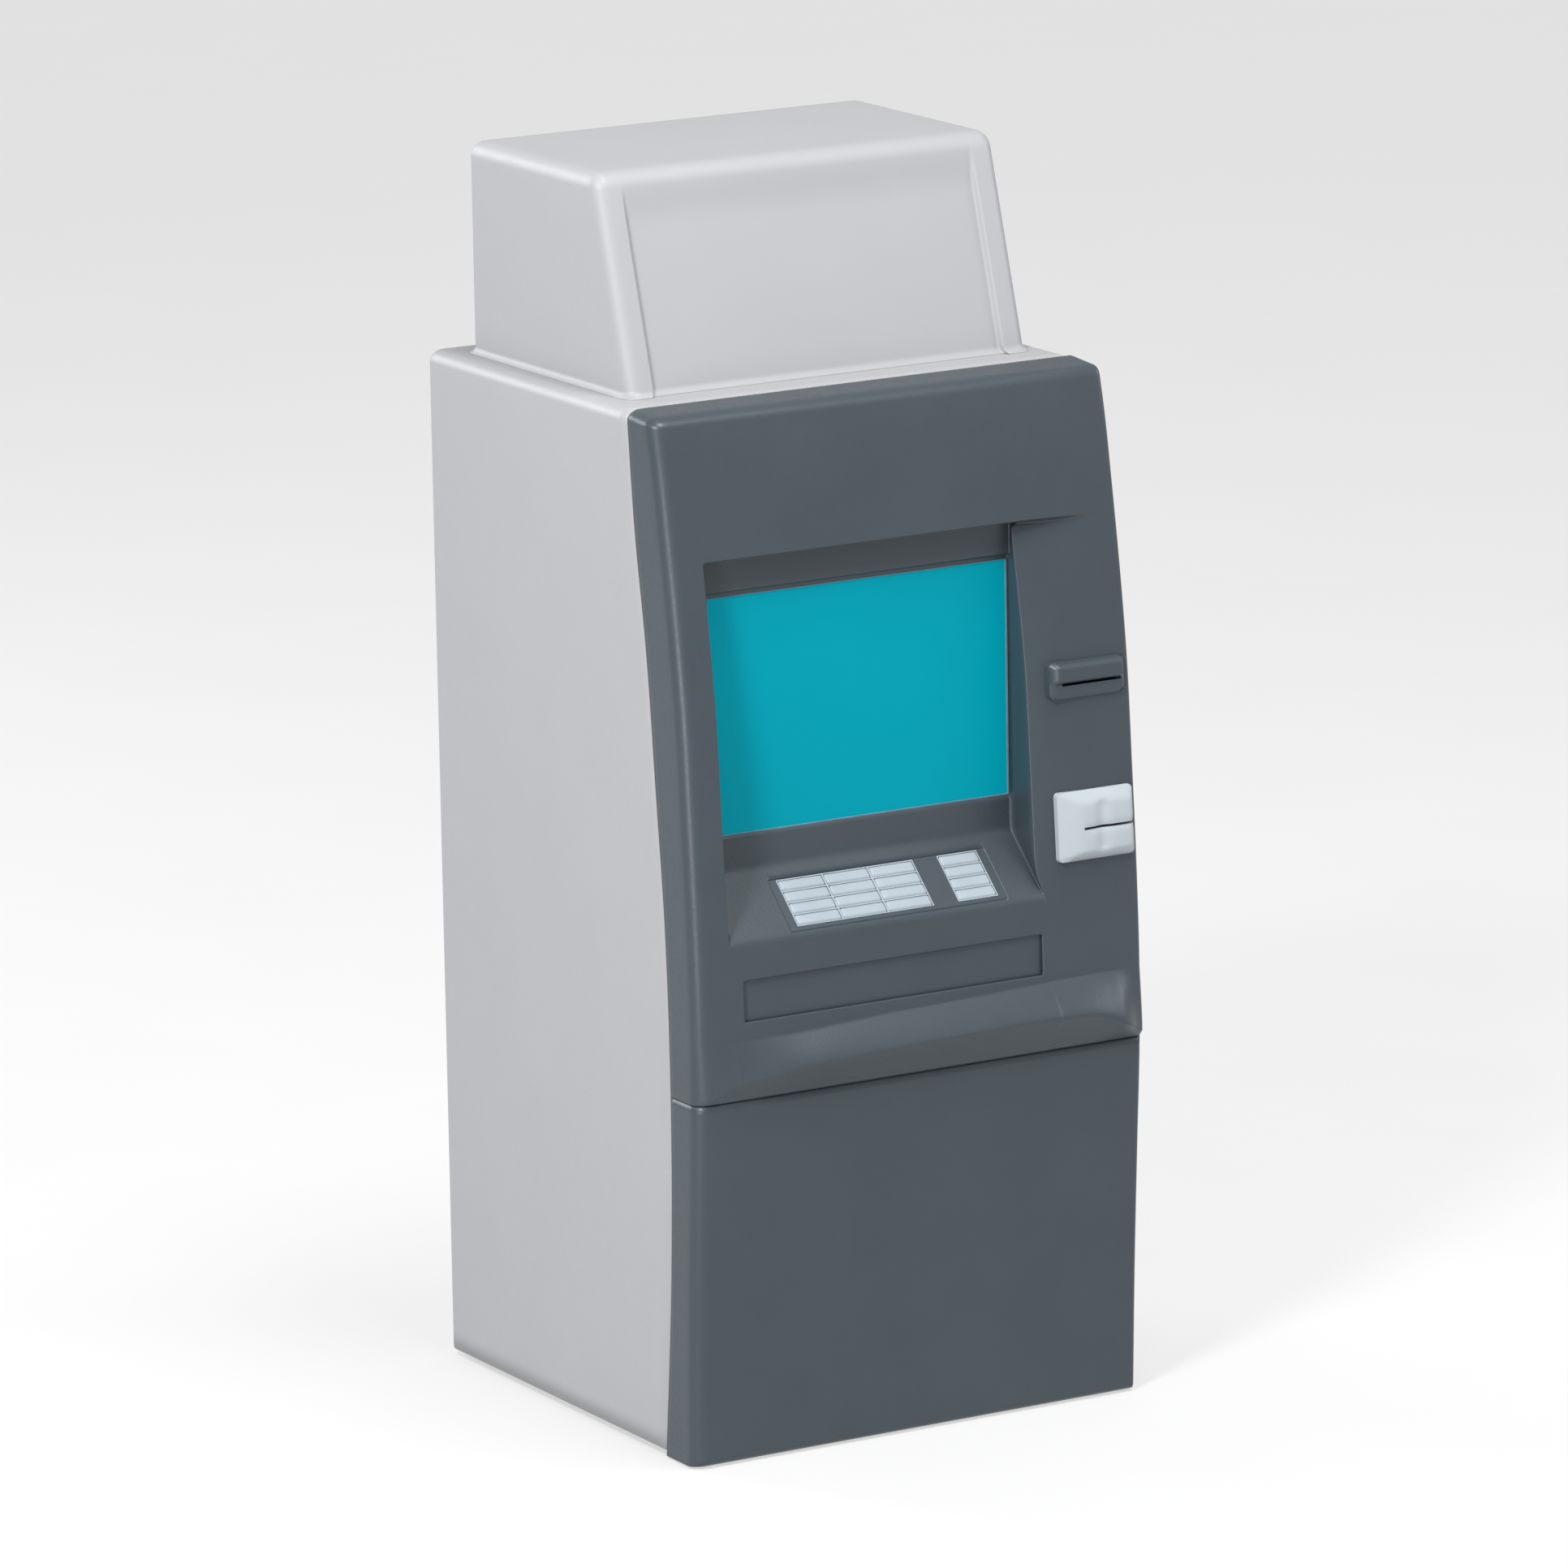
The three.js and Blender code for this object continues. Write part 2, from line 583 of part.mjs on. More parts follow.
// The printer's body carries two ears, with the paper roll's axle between them.
function receiptPrinter() {
  const p = PRINTER;
  const axle = bar('x', ROLL.bore - 0.6, p.left + 1, p.right - 1, 12).translate(0, y(ROLL.depth), ROLL.z);
  const ear = (x0) => block(x0, x0 + EAR.thick, ROLL.depth - EAR.half, ROLL.depth + EAR.half,
    p.top - EAR.root, ROLL.z + EAR.above);
  const body = block(p.left, p.right, p.front, p.rear, p.bottom, p.top);
  const { slit: line } = RECEIPT;
  const throat = block(RECEIPT.left + 15, p.right - 4, p.front - PAST, p.front + 28, line - 4, line + 4);
  return cut(join(body, ear(p.left), ear(p.right - EAR.thick), axle), throat);
}

function paperRoll() {
  const { bore, radius, left, right } = ROLL;
  const half = (right - left) / 2;
  const profile = [[bore, -half], [radius, -half], [radius, half], [bore, half], [bore, -half]];
  const lathe = new THREE.LatheGeometry(profile.map(([r, h]) => new THREE.Vector2(r, h)), 28);
  return lathe.rotateZ(Math.PI / 2);
}

const PRESENTER = { left: -230, right: 160, front: 2, rear: 156, bottom: SAFE.top + GAP, top: 612 };
const THROAT = { bottom: 544, top: 580, wall: 6 };
const ROLLER = { radius: 8.7, depth: 26, middle: 562, left: -221, right: 151, nip: 0.6 };

function presenter() {
  const p = PRESENTER;
  const [x0, x1] = [p.left + THROAT.wall, p.right - THROAT.wall];
  return cut(
    solid(block(p.left, p.right, p.front, p.rear, p.bottom, p.top)),
    block(x0, x1, p.front - PAST, NOTE_SLOT.to, THROAT.bottom, THROAT.top),
    block(-NOTE_SLOT.side, NOTE_SLOT.side, NOTE_SLOT.from, NOTE_SLOT.to, p.bottom - PAST,
      THROAT.bottom + PAST),
  );
}

// Shelf, bracket, computer and power supply, which stand on the safe's top.
function addShelfEquipment() {
  const deck = SAFE.top + GAP;
  const onDeck = deck + DECK_PLATE + GAP;
  add('equipment_shelf', block(-268, 268, 170, 538, deck, deck + DECK_PLATE), GALVANISED);
  add('module_bracket', block(186, 190, 40, 300, onDeck, 1000), GALVANISED);
  add('computer_case', openBox(-250, -60, 290, 560, onDeck, onDeck + 350, CASE_SHEET), BLACK);
  add('power_supply', openBox(-20, 130, 330, 540, onDeck, onDeck + 120, CASE_SHEET), GALVANISED);
}

// The modules behind the user's slots.
function addModules() {
  const r = READER;
  add('card_reader', cut(
    solid(block(r.left, r.right, r.front, r.rear, r.bottom, r.top)),
    block(CARD.left + 33, r.right - 3, r.front - PAST, 100, CARD.slit - 3, CARD.slit + 3),
  ), BLACK);
  add('receipt_printer', receiptPrinter(), BLACK);
  const rollMiddle = (ROLL.left + ROLL.right) / 2;
  add('paper_roll', paperRoll(), PAPER).position.set(rollMiddle, y(ROLL.depth), ROLL.z);
  add('note_presenter', presenter(), GALVANISED);
  for (const [name, side] of [['presenter_roller_upper', 1], ['presenter_roller_lower', -1]]) {
    const roller = bar('x', ROLLER.radius, ROLLER.left, ROLLER.right, 18);
    const offset = side * (ROLLER.radius + ROLLER.nip / 2);
    add(name, roller, BLACK).position.set(0, y(ROLLER.depth), ROLLER.middle + offset);
  }
}

// ---- rear door ----
const REAR_DOOR = { side: 281, bottom: 514, top: 1219, front: 580, rear: 600, skin: 3 };
const FAN = {
  x: 120, z: 1080, radius: 52, ring: 58, hub: 20, from: 584, to: 594, blades: 7, root: 4,
  pitch: THREE.MathUtils.degToRad(32),
};
const DOOR_LOCK = { x: 255, z: 860, radius: 9 };

function rearDoor() {
  const d = REAR_DOOR;
  const rim = d.skin;
  const pan = cut(
    solid(alongX(rectangle(d.front, d.rear, d.bottom, d.top), -d.side, d.side, 2, 1)),
    block(-d.side + rim, d.side - rim, d.front - PAST, d.rear - d.skin, d.bottom + rim, d.top - rim),
  );
  const collar = solid(bar('y', FAN.ring, y(d.front - 2), y(d.rear - 2), 28).translate(FAN.x, 0, FAN.z));
  const [inside, outside] = [y(d.front - PAST), y(d.rear + PAST)];
  return cut(
    pan.add(collar),
    bar('y', FAN.radius + 2, inside, outside, 28).translate(FAN.x, 0, FAN.z),
    bar('y', DOOR_LOCK.radius + GAP, inside, outside, 16).translate(DOOR_LOCK.x, 0, DOOR_LOCK.z),
  );
}

function fanRotor() {
  const { radius, hub, from, to, blades, root, pitch } = FAN;
  const middle = y((from + to) / 2);
  let rotor = solid(bar('y', hub, y(from), y(to), 18));
  for (let i = 0; i < blades; i += 1) {
    const blade = new THREE.BoxGeometry(radius - hub + root, 2, 18);
    blade.rotateX(pitch).translate((radius + hub - root) / 2, 0, 0);
    blade.rotateY((i * 2 * Math.PI) / blades).translate(0, middle, 0);
    rotor = rotor.add(solid(blade));
  }
  return rotor;
}

function addRearDoor() {
  add('rear_door', rearDoor(), LIGHT_GREY);
  add('fan_rotor', fanRotor(), BLACK).position.set(FAN.x, 0, FAN.z);
  const lock = join(
    bar('y', DOOR_LOCK.radius, y(576), y(REAR_DOOR.rear + 4), 16),
    boxBetween(-6, 6, y(573), y(578), -34, 7),
  );
  add('rear_door_lock', lock, STEEL).position.set(DOOR_LOCK.x, 0, DOOR_LOCK.z);
}

function powerInlet() {
  const { left, right, bottom, top, front, proud, well, rim } = INLET;
  return cut(
    solid(block(left + GAP, right - GAP, front, DEPTH + proud, bottom + GAP, top - GAP)),
    block(left + rim, right - rim, well, DEPTH + PAST, bottom + rim - 1, top - rim + 1),
  );
}

// ---- assembly ----
const MONITOR = { left: -246, right: 184, bottom: 730, top: 1036, rear: 110 };

add('base_plinth', alongX(rectangle(75, 575, 0, 38), -280, 280, 2, 1), BLACK);
add('outer_casing', casing(), LIGHT_GREY);
add('lower_front_panel', lowerPanel(), DARK_GREY);
add('power_inlet', powerInlet(), BLACK);
addTopper();
addSafe();
addSafeDoor();
addShelfEquipment();
addModules();
addRearDoor();
add('upper_fascia', fascia(), DARK_GREY);
add('screen_glass', block(SCREEN.left, SCREEN.right, SCREEN.front, SCREEN.front + SCREEN.thick,
  SCREEN.bottom, SCREEN.top), TEAL);
add('monitor', alongX(rectangle(NICHE.back + SHELL + GAP, MONITOR.rear, MONITOR.bottom, MONITOR.top),
  MONITOR.left, MONITOR.right, 3, 1), BLACK);
addKeys();
addCardBezel();
addReceiptBezel();
addHinge();
addLatch();
add('cash_shutter', block(SHUTTER.left - SHUTTER.lap, SHUTTER.right + SHUTTER.lap, SHUTTER.front,
  SHUTTER.front + SHUTTER.thick, SHUTTER.bottom - SHUTTER.lap, SHUTTER.top + SHUTTER.lap), DARK_GREY);

export default parts;
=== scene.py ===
"""Looks of the free-standing cash machine: fascia, painted cabinet, topper, safe and service gear."""
import json
import math

import bmesh
import bpy
import numpy as np
from mathutils import Matrix, Vector


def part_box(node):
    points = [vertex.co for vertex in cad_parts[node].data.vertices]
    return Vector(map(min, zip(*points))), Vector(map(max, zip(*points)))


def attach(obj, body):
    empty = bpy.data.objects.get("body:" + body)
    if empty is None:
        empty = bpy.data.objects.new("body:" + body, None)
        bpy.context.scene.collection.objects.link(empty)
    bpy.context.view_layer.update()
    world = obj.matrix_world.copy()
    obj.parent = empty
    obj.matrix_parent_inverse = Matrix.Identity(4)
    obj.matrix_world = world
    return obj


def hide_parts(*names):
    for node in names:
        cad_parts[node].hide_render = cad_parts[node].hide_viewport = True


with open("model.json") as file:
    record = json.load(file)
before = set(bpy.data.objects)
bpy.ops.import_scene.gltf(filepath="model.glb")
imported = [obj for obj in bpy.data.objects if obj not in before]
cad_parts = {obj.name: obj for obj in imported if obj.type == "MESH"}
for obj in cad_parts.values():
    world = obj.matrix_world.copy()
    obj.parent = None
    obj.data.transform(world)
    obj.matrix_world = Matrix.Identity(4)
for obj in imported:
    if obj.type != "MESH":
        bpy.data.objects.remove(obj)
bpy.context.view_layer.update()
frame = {"nodes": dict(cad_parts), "record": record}

# Every measure below is in millimetres, and depths run back from the nominal front plane at y = -301.
MM = 0.001
FAR = 5000.0             # stands for "no edge on this side" where a box is rounded
WELD = 0.02              # points closer than this are made one
FRONT_PLANE = -301.0


def cad(node):
    """Lowest and highest corner of a CAD node, in millimetres."""
    low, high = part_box(node)
    return np.array(low) / MM, np.array(high) / MM


CASING_LOW, CASING_HIGH = cad("outer_casing")
PANEL_LOW, PANEL_HIGH = cad("lower_front_panel")
TOPPER_LOW, TOPPER_HIGH = cad("topper_housing")
HALF = CASING_HIGH[0]
REAR = CASING_HIGH[1] - FRONT_PLANE
BODY_TOP = CASING_HIGH[2]
SPLIT = cad("upper_fascia")[0][2] - 0.4
SEAM = 1.4               # joint between casing and fascia

# The cabinet's front curve and the casing's front edge, as (height, depth), as in the CAD model.
FRONT_CURVE = [(0, 0), (160, -6), (310, -14), (437, -21), (530, -22), (660, -17), (780, -9), (900, 0),
               (1000, 13), (1100, 29), (1180, 43), (1231, 54), (1250, 58)]
MATE_CURVE = [(-20, 70), (230, 48), (434, 42), (640, 48), (800, 63), (970, 80), (1100, 100), (1270, 116)]
NICHE = {"left": -255, "right": 176, "top": 1072, "back": 60, "crease": 699, "lip": 632, "lip_depth": -14}
SCREEN_LOW, SCREEN_HIGH = cad("screen_glass")
PLATE_LOW, PLATE_HIGH = cad("keypad_plate")
SHUTTER_LOW, SHUTTER_HIGH = cad("cash_shutter")
SHUTTER_LAP = 5
# The two bezels on the right column: edges, middle of the slit, and for the receipt's the foot of its hood.
CARD = {"left": 193.0, "right": 296.0, "bottom": 668.0, "top": 751.0, "slit": 706.0}
RECEIPT = {"left": 190.0, "right": 293.0, "bottom": 862.0, "top": 906.0, "slit": 878.8, "hood": 879.0}
# The openings behind them, as left, right, bottom, top.
CARD_HOLE = (223.0, 287.0, 700.0, 712.0)
RECEIPT_HOLE = (204.0, 286.0, 873.5, 883.5)
LEDGE_REACH = 31.0
# The hand ledge's nose and its upper edge, as (x, height).
LEDGE_NOSE = [(-289, SPLIT + 3), (-274, 457), (-208, 475), (-164, 481), (-76, 485), (57, 488), (170, 489),
              (238, 483), (283, 462), (306, SPLIT + 6)]
LEDGE_TOP = [(-303, 521), (-259, 517), (-194, 516), (-62, 521), (72, 524), (184, 528), (297, 530)]
SHELF_ANGLE = math.atan2(NICHE["crease"] - NICHE["lip"], NICHE["back"] - NICHE["lip_depth"])


# ---- curves and grids ----
def smooth_curve(points):
    """A smooth curve through (place, value) points, as a function of the place."""
    at = np.array([p[0] for p in points], float)
    value = np.array([p[1] for p in points], float)
    slope = np.gradient(value, at)

    def curve(place):
        place = np.clip(np.asarray(place, float), at[0], at[-1])
        i = np.clip(np.searchsorted(at, place) - 1, 0, len(at) - 2)
        span = at[i + 1] - at[i]
        t = (place - at[i]) / span
        a = 2 * t**3 - 3 * t**2 + 1
        b = t**3 - 2 * t**2 + t
        c = t**3 - t**2
        return a * value[i] + b * span * slope[i] + (1 - a) * value[i + 1] + c * span * slope[i + 1]

    return curve


front_at = smooth_curve(FRONT_CURVE)
mate_at = smooth_curve(MATE_CURVE)
nose_at = smooth_curve(LEDGE_NOSE)
ledge_top_at = smooth_curve(LEDGE_TOP)


def step(a, b, x):
    """Smooth rise from 0 at a to 1 at b."""
    t = np.clip((np.asarray(x, float) - a) / (b - a), 0, 1)
    return t * t * (3 - 2 * t)


def soft_max(a, b, width):
    """The larger of two depths, with a rounded corner where they cross."""
    return 0.5 * (a + b + np.sqrt((a - b) ** 2 + width**2))


def soft_min(values, width):
    low = values[0]
    for value in values[1:]:
        low = -soft_max(-low, -value, width)
    return low


def lines(forced, *extra, gap=1.2):
    """Sorted grid lines: all forced ones, and each extra one that is not too close to another."""
    kept = sorted(set(forced))
    for value in np.concatenate([np.atleast_1d(e) for e in extra]) if extra else []:
        if min(abs(value - k) for k in kept) > gap:
            kept.append(float(value))
    return np.array(sorted(kept))


def corner_steps(radius, count=6):
    """Offsets past a face's flat part, even in angle, up to the edge's 45 degree line."""
    return radius * np.tan(np.radians(45 * np.arange(1, count + 1) / count))


def spread(low, high, spacing):
    return np.linspace(low, high, max(2, int(round((high - low) / spacing)) + 1))


def with_ends(flat, low=None, high=None, count=6):
    """Grid lines over a flat stretch, carried on round the edges that end at low and at high."""
    before = [] if low is None else flat[0] - corner_steps(flat[0] - low, count)[::-1]
    after = [] if high is None else flat[-1] + corner_steps(high - flat[-1], count)
    return np.concatenate([before, flat, after])


def clear_of(u, v, holes):
    """Which cells of a grid have their middle outside every hole."""
    u, v = (u[:-1, :-1] + u[1:, 1:]) / 2, (v[:-1, :-1] + v[1:, 1:]) / 2
    keep = np.ones(u.shape, bool)
    for u0, u1, v0, v1 in holes:
        keep &= ~((u > u0) & (u < u1) & (v > v0) & (v < v1))
    return keep


def bridge(work, loops, flip=False):
    """Joins each loop of vertices to the next one with faces."""
    for a, b in zip(loops, loops[1:]):
        for k in range(len(a)):
            m = (k + 1) % len(a)
            work.faces.new((a[k], a[m], b[m], b[k]) if flip else (a[k], b[k], b[m], a[m]))


def round_off(axes, low, high, radii):
    """Coordinates of points on a box's faces, moved onto the same box with rounded edges."""
    points = np.stack(np.broadcast_arrays(*axes), axis=-1)
    inner = np.clip(points, low + radii, high - radii)
    offset = (points - inner) / radii
    length = np.linalg.norm(offset, axis=-1, keepdims=True)
    turned = np.where(length > 1e-9, inner + radii * offset / np.maximum(length, 1e-9), points)
    return np.moveaxis(turned, -1, 0)


def add_object(name, data):
    obj = bpy.data.objects.new(name, data)
    bpy.context.scene.collection.objects.link(obj)
    return obj


class Skin:
    """Collects sheets of points and makes one welded mesh of them."""

    def __init__(self):
        self.points = []
        self.faces = []

    def sheet(self, surface, us, vs, flip=False, holes=()):
        """Adds surface(u, v) over a grid of lines, without the cells in the holes."""
        u, v = np.meshgrid(us, vs)
        points = surface(u, v)
        columns, start = points.shape[1], len(self.points)
        self.points.extend(points.reshape(-1, 3))
        for i, j in np.argwhere(clear_of(u, v, holes)):
            corner = start + int(i) * columns + int(j)
            face = (corner, corner + 1, corner + columns + 1, corner + columns)
            self.faces.append(face[::-1] if flip else face)

    def build(self, name, smooth=True):
        mesh = bpy.data.meshes.new(name)
        mesh.from_pydata([tuple(p * MM) for p in np.asarray(self.points)], [], self.faces)
        work = bmesh.new()
        work.from_mesh(mesh)
        bmesh.ops.remove_doubles(work, verts=work.verts, dist=WELD * MM)
        loose = [v for v in work.verts if not v.link_faces]
        bmesh.ops.delete(work, geom=loose, context="VERTS")
        work.to_mesh(mesh)
        work.free()
        mesh.polygons.foreach_set("use_smooth", [smooth] * len(mesh.polygons))
        return add_object(name, mesh)

    def walled(self, name, amount, smooth=True):
        """The mesh with its wall added inwards."""
        obj = self.build(name, smooth)
        solid = obj.modifiers.new("wall", "SOLIDIFY")
        solid.thickness = amount * MM
        solid.offset = -1
        solid.use_even_offset = True
        solid.use_quality_normals = True
        bpy.context.view_layer.update()
        graph = bpy.context.evaluated_depsgraph_get()
        mesh = bpy.data.meshes.new_from_object(obj.evaluated_get(graph))
        mesh.name = name
        obj.modifiers.clear()
        obj.data = mesh
        return obj


def row_frame(x, depth, z):
    """Stacks x, depth and height arrays into points of the row frame."""
    x, depth, z = np.broadcast_arrays(x, depth, z)
    return np.stack([x, depth + FRONT_PLANE, z], axis=-1)


def crease_shading(obj, angle):
    """Smooth shading that leaves edges sharper than the angle in degrees."""
    obj.data.polygons.foreach_set("use_smooth", [True] * len(obj.data.polygons))
    obj.data.set_sharp_from_angle(angle=math.radians(angle))
    return obj


# ---- materials ----
class Nodes:
    """Short calls to build one procedural material."""

    def __init__(self, name):
        self.material = bpy.data.materials.new(name)
        self.material.use_nodes = True
        self.tree = self.material.node_tree
        self.shader = self.tree.nodes["Principled BSDF"]
        self.place = self.tree.nodes.new("ShaderNodeTexCoord").outputs["Object"]

    def new(self, kind, inputs=(), **settings):
        node = self.tree.nodes.new(kind)
        for key, value in settings.items():
            setattr(node, key, value)
        for key, value in dict(inputs).items():
            if hasattr(value, "is_linked"):
                self.tree.links.new(value, node.inputs[key])
            else:
                node.inputs[key].default_value = value
        return node

    def noise(self, scale, detail=3.0, roughness=0.5, place=None):
        inputs = {"Vector": place or self.place, "Scale": scale, "Detail": detail, "Roughness": roughness}
        return self.new("ShaderNodeTexNoise", inputs).outputs["Fac"]

    def cells(self, scale):
        return self.new("ShaderNodeTexVoronoi", {"Vector": self.place, "Scale": scale}).outputs["Distance"]

    def remap(self, value, low, high, to_low=0.0, to_high=1.0):
        return self.new("ShaderNodeMapRange", {"Value": value, "From Min": low, "From Max": high,
                                               "To Min": to_low, "To Max": to_high}).outputs["Result"]

    def math(self, operation, a, b=0.0):
        return self.new("ShaderNodeMath", {0: a, 1: b}, operation=operation).outputs[0]

    def mix(self, factor, a, b):
        """Mixes two colours: their sockets are 6 and 7 on the node."""
        return self.new("ShaderNodeMix", {0: factor, 6: a, 7: b}, data_type="RGBA").outputs[2]

    def bump(self, height, strength, distance, **normal):
        inputs = {"Height": height, "Strength": strength, "Distance": distance, **normal}
        return self.new("ShaderNodeBump", inputs).outputs["Normal"]

    def link(self, value, socket):
        self.tree.links.new(value, self.shader.inputs[socket])

    def shade(self, factor, color, dark, light):
        self.link(self.mix(factor, tint(color, dark), tint(color, light)), "Base Color")

    def roughness(self, scale, low, high):
        self.link(self.remap(self.noise(scale, 2.0), 0.3, 0.7, low, high), "Roughness")

    def set(self, **values):
        for key, value in values.items():
            self.shader.inputs[key.replace("_", " ")].default_value = value


def tint(color, amount):
    return tuple(min(1.0, max(0.0, c * amount)) for c in color[:3]) + (1.0,)


def moulded(name, color, rough=0.42, peel=0.10, pits=0.35, variation=0.06, peel_scale=420):
    """Satin moulded or sprayed skin: orange peel, faint mottling, and scattered pinholes whose colour is
    darkened as painted shade in the pits.
    """
    n = Nodes(name)
    mottle = n.noise(9.0, 4.0, 0.6)
    fine = n.noise(peel_scale, 2.0, 0.55)
    broad = n.remap(mottle, 0.3, 0.7)
    pinhole = n.remap(n.cells(75.0), 0.0, 0.055, 1.0, 0.0)
    rare = n.remap(n.noise(26.0, 1.0), 0.60, 0.66)
    pin = n.math("MULTIPLY", pinhole, rare)
    base = n.mix(broad, tint(color, 1 - variation), tint(color, 1 + variation))
    # Pinholes pulled towards a third of the colour: painted shade in the pits, on top of their bump.
    n.link(n.mix(n.math("MULTIPLY", pin, 0.45), base, tint(color, 0.35)), "Base Color")
    n.roughness(150.0, rough - 0.02, rough + 0.04)
    skin = n.bump(fine, peel, 0.0006)
    n.link(n.bump(pin, -pits, 0.0009, Normal=skin), "Normal")
    return n.material


def powder_coat(name, color, rough=0.5, grain=600.0, strength=0.25, metallic=0.0):
    """Textured powder coat with a fine leathery grain."""
    n = Nodes(name)
    dust = n.remap(n.noise(14.0, 5.0, 0.6), 0.35, 0.65)
    n.shade(dust, color, 0.9, 1.1)
    n.roughness(80.0, rough - 0.06, rough + 0.08)
    height = n.math("ADD", n.noise(grain, 2.0, 0.6), n.cells(grain * 0.7))
    n.link(n.bump(height, strength, 0.0004), "Normal")
    n.set(Metallic=metallic)
    return n.material


def brushed(name, color, rough=0.32, along=(1.0, 60.0, 60.0), zinc=0.0):
    """Metal with fine lines along one axis, or the spangle of zinc plate."""
    n = Nodes(name)
    stretched = n.new("ShaderNodeMapping", {"Vector": n.place, "Scale": along}).outputs["Vector"]
    scratch = n.noise(30.0, 4.0, 0.7, stretched)
    spangle = n.cells(60.0)
    shade = n.math("ADD", n.remap(scratch, 0.3, 0.7, -0.12, 0.12),
                   n.remap(spangle, 0.0, 0.9, -zinc, zinc))
    factor = n.math("ADD", shade, 0.5)
    n.shade(factor, color, 0.78, 1.2)
    n.link(n.remap(scratch, 0.3, 0.7, rough - 0.08, rough + 0.1), "Roughness")
    n.link(n.bump(scratch, 0.12, 0.0003), "Normal")
    n.set(Metallic=1.0)
    return n.material


def screen_picture(name, color):
    """A plain teal picture under satin glass: even tone, faint pixel rows, a soft darker corner."""
    n = Nodes(name)
    axes = n.new("ShaderNodeSeparateXYZ", {"Vector": n.place}).outputs
    low, high = SCREEN_LOW * MM, SCREEN_HIGH * MM
    across = n.remap(axes["X"], low[0], high[0])
    upward = n.remap(axes["Z"], low[2], high[2])
    corner = n.math("MULTIPLY", n.math("SUBTRACT", 1.0, across), n.math("SUBTRACT", 1.0, upward))
    drift = n.math("ADD", n.math("MULTIPLY", corner, 0.7), n.math("MULTIPLY", n.noise(7.0, 2.0), 0.25))
    rows = n.new("ShaderNodeTexWave", {"Vector": n.place, "Scale": 260.0}, bands_direction="Z")
    shade = n.mix(drift, tint(color, 1.04), tint(color, 0.86))
    lit = n.mix(n.math("MULTIPLY", rows.outputs["Fac"], 0.05), shade, tint(color, 1.25))
    n.link(lit, "Base Color")
    n.link(lit, "Emission Color")
    n.roughness(240.0, 0.36, 0.44)
    n.link(n.bump(n.noise(300.0, 2.0), 0.05, 0.0003), "Normal")
    n.set(Emission_Strength=0.6, Specular_IOR_Level=0.05)
    return n.material


def rubber(name, color):
    n = Nodes(name)
    n.shade(n.noise(60.0, 4.0, 0.6), color, 0.8, 1.5)
    n.roughness(200.0, 0.65, 0.85)
    n.link(n.bump(n.noise(700.0, 2.0), 0.2, 0.0003), "Normal")
    return n.material


def paper(name, color):
    n = Nodes(name)
    n.shade(n.noise(90.0, 5.0, 0.6), color, 0.95, 1.03)
    n.link(n.bump(n.noise(500.0, 3.0, 0.6), 0.15, 0.0002), "Normal")
    n.set(Roughness=0.85)
    return n.material


LOOKS = {
    "casing_grey": (moulded, (0.318, 0.322, 0.338), 0.46, 0.10, 0.30, 0.012),
    "fascia_grey": (moulded, (0.0345, 0.0475, 0.0575), 0.38, 0.30, 0.6, 0.05, 330),
    "sign_panel": (moulded, (0.60, 0.625, 0.64), 0.42, 0.06, 0.2, 0.01),
    "light_bar": (moulded, (0.86, 0.86, 0.82), 0.35, 0.02, 0.0, 0.01),
    "screen_teal": (screen_picture, (0.0, 0.18, 0.235)),
    "key_plastic": (moulded, (0.298, 0.343, 0.380), 0.48, 0.16, 0.4, 0.10),
    "white_plastic": (moulded, (0.362, 0.405, 0.433), 0.44, 0.14, 0.35, 0.04),
    "black_plastic": (powder_coat, (0.022, 0.023, 0.026), 0.45, 900.0, 0.15),
    "chassis_black": (powder_coat, (0.028, 0.03, 0.033), 0.5, 500.0, 0.3),
    "safe_paint": (powder_coat, (0.10, 0.112, 0.125), 0.42, 240.0, 0.5, 0.2),
    "galvanised_steel": (brushed, (0.50, 0.52, 0.54), 0.42, (30.0, 30.0, 30.0), 0.25),
    "brushed_steel": (brushed, (0.55, 0.56, 0.57), 0.28),
    "roller_rubber": (rubber, (0.03, 0.03, 0.032)),
    "paper": (paper, (0.86, 0.855, 0.82)),
}
# Looks of small dressing that its slot's own look doesn't suit.
EXTRA = {
    "board_green": (powder_coat, (0.012, 0.085, 0.045), 0.35, 300.0, 0.1),
    "copper_wire": (rubber, (0.30, 0.05, 0.03)),
    "zinc_screw": (brushed, (0.62, 0.62, 0.60), 0.25, (8.0, 8.0, 8.0), 0.1),
    # Near-black painted shade, put on screw slots, louvre openings and the keyway, which are not cut out.
    "dark_gap": (rubber, (0.012, 0.013, 0.014)),
    "gasket_blue": (rubber, (0.09, 0.16, 0.20)),
}
for table in (LOOKS, EXTRA):
    for key, (make, *values) in table.items():
        table[key] = make(key, *values)


def put(obj, body, slot, replaces=(), look=None):
    """Gives a piece its material, its body and the CAD nodes that it stands for."""
    obj.data.materials.clear()
    obj.data.materials.append(EXTRA[look] if look else LOOKS[slot])
    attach(obj, body)
    if replaces:
        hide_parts(*replaces)


# ---- cabinet front: fascia and lower panel ----
EDGE_RADII = np.array([18.0, 18.0, 12.0])
BAND = 100.0             # how many units of the depth grid stand for the flat stretch behind the edge
TOP_DROP = 4.0           # the top band falls this much towards the front
TIGHTER = 10.0           # the right edge is rounded this much less than the left one


def edge_radius(x):
    return EDGE_RADII[1] - TIGHTER * step(120, 285, x)


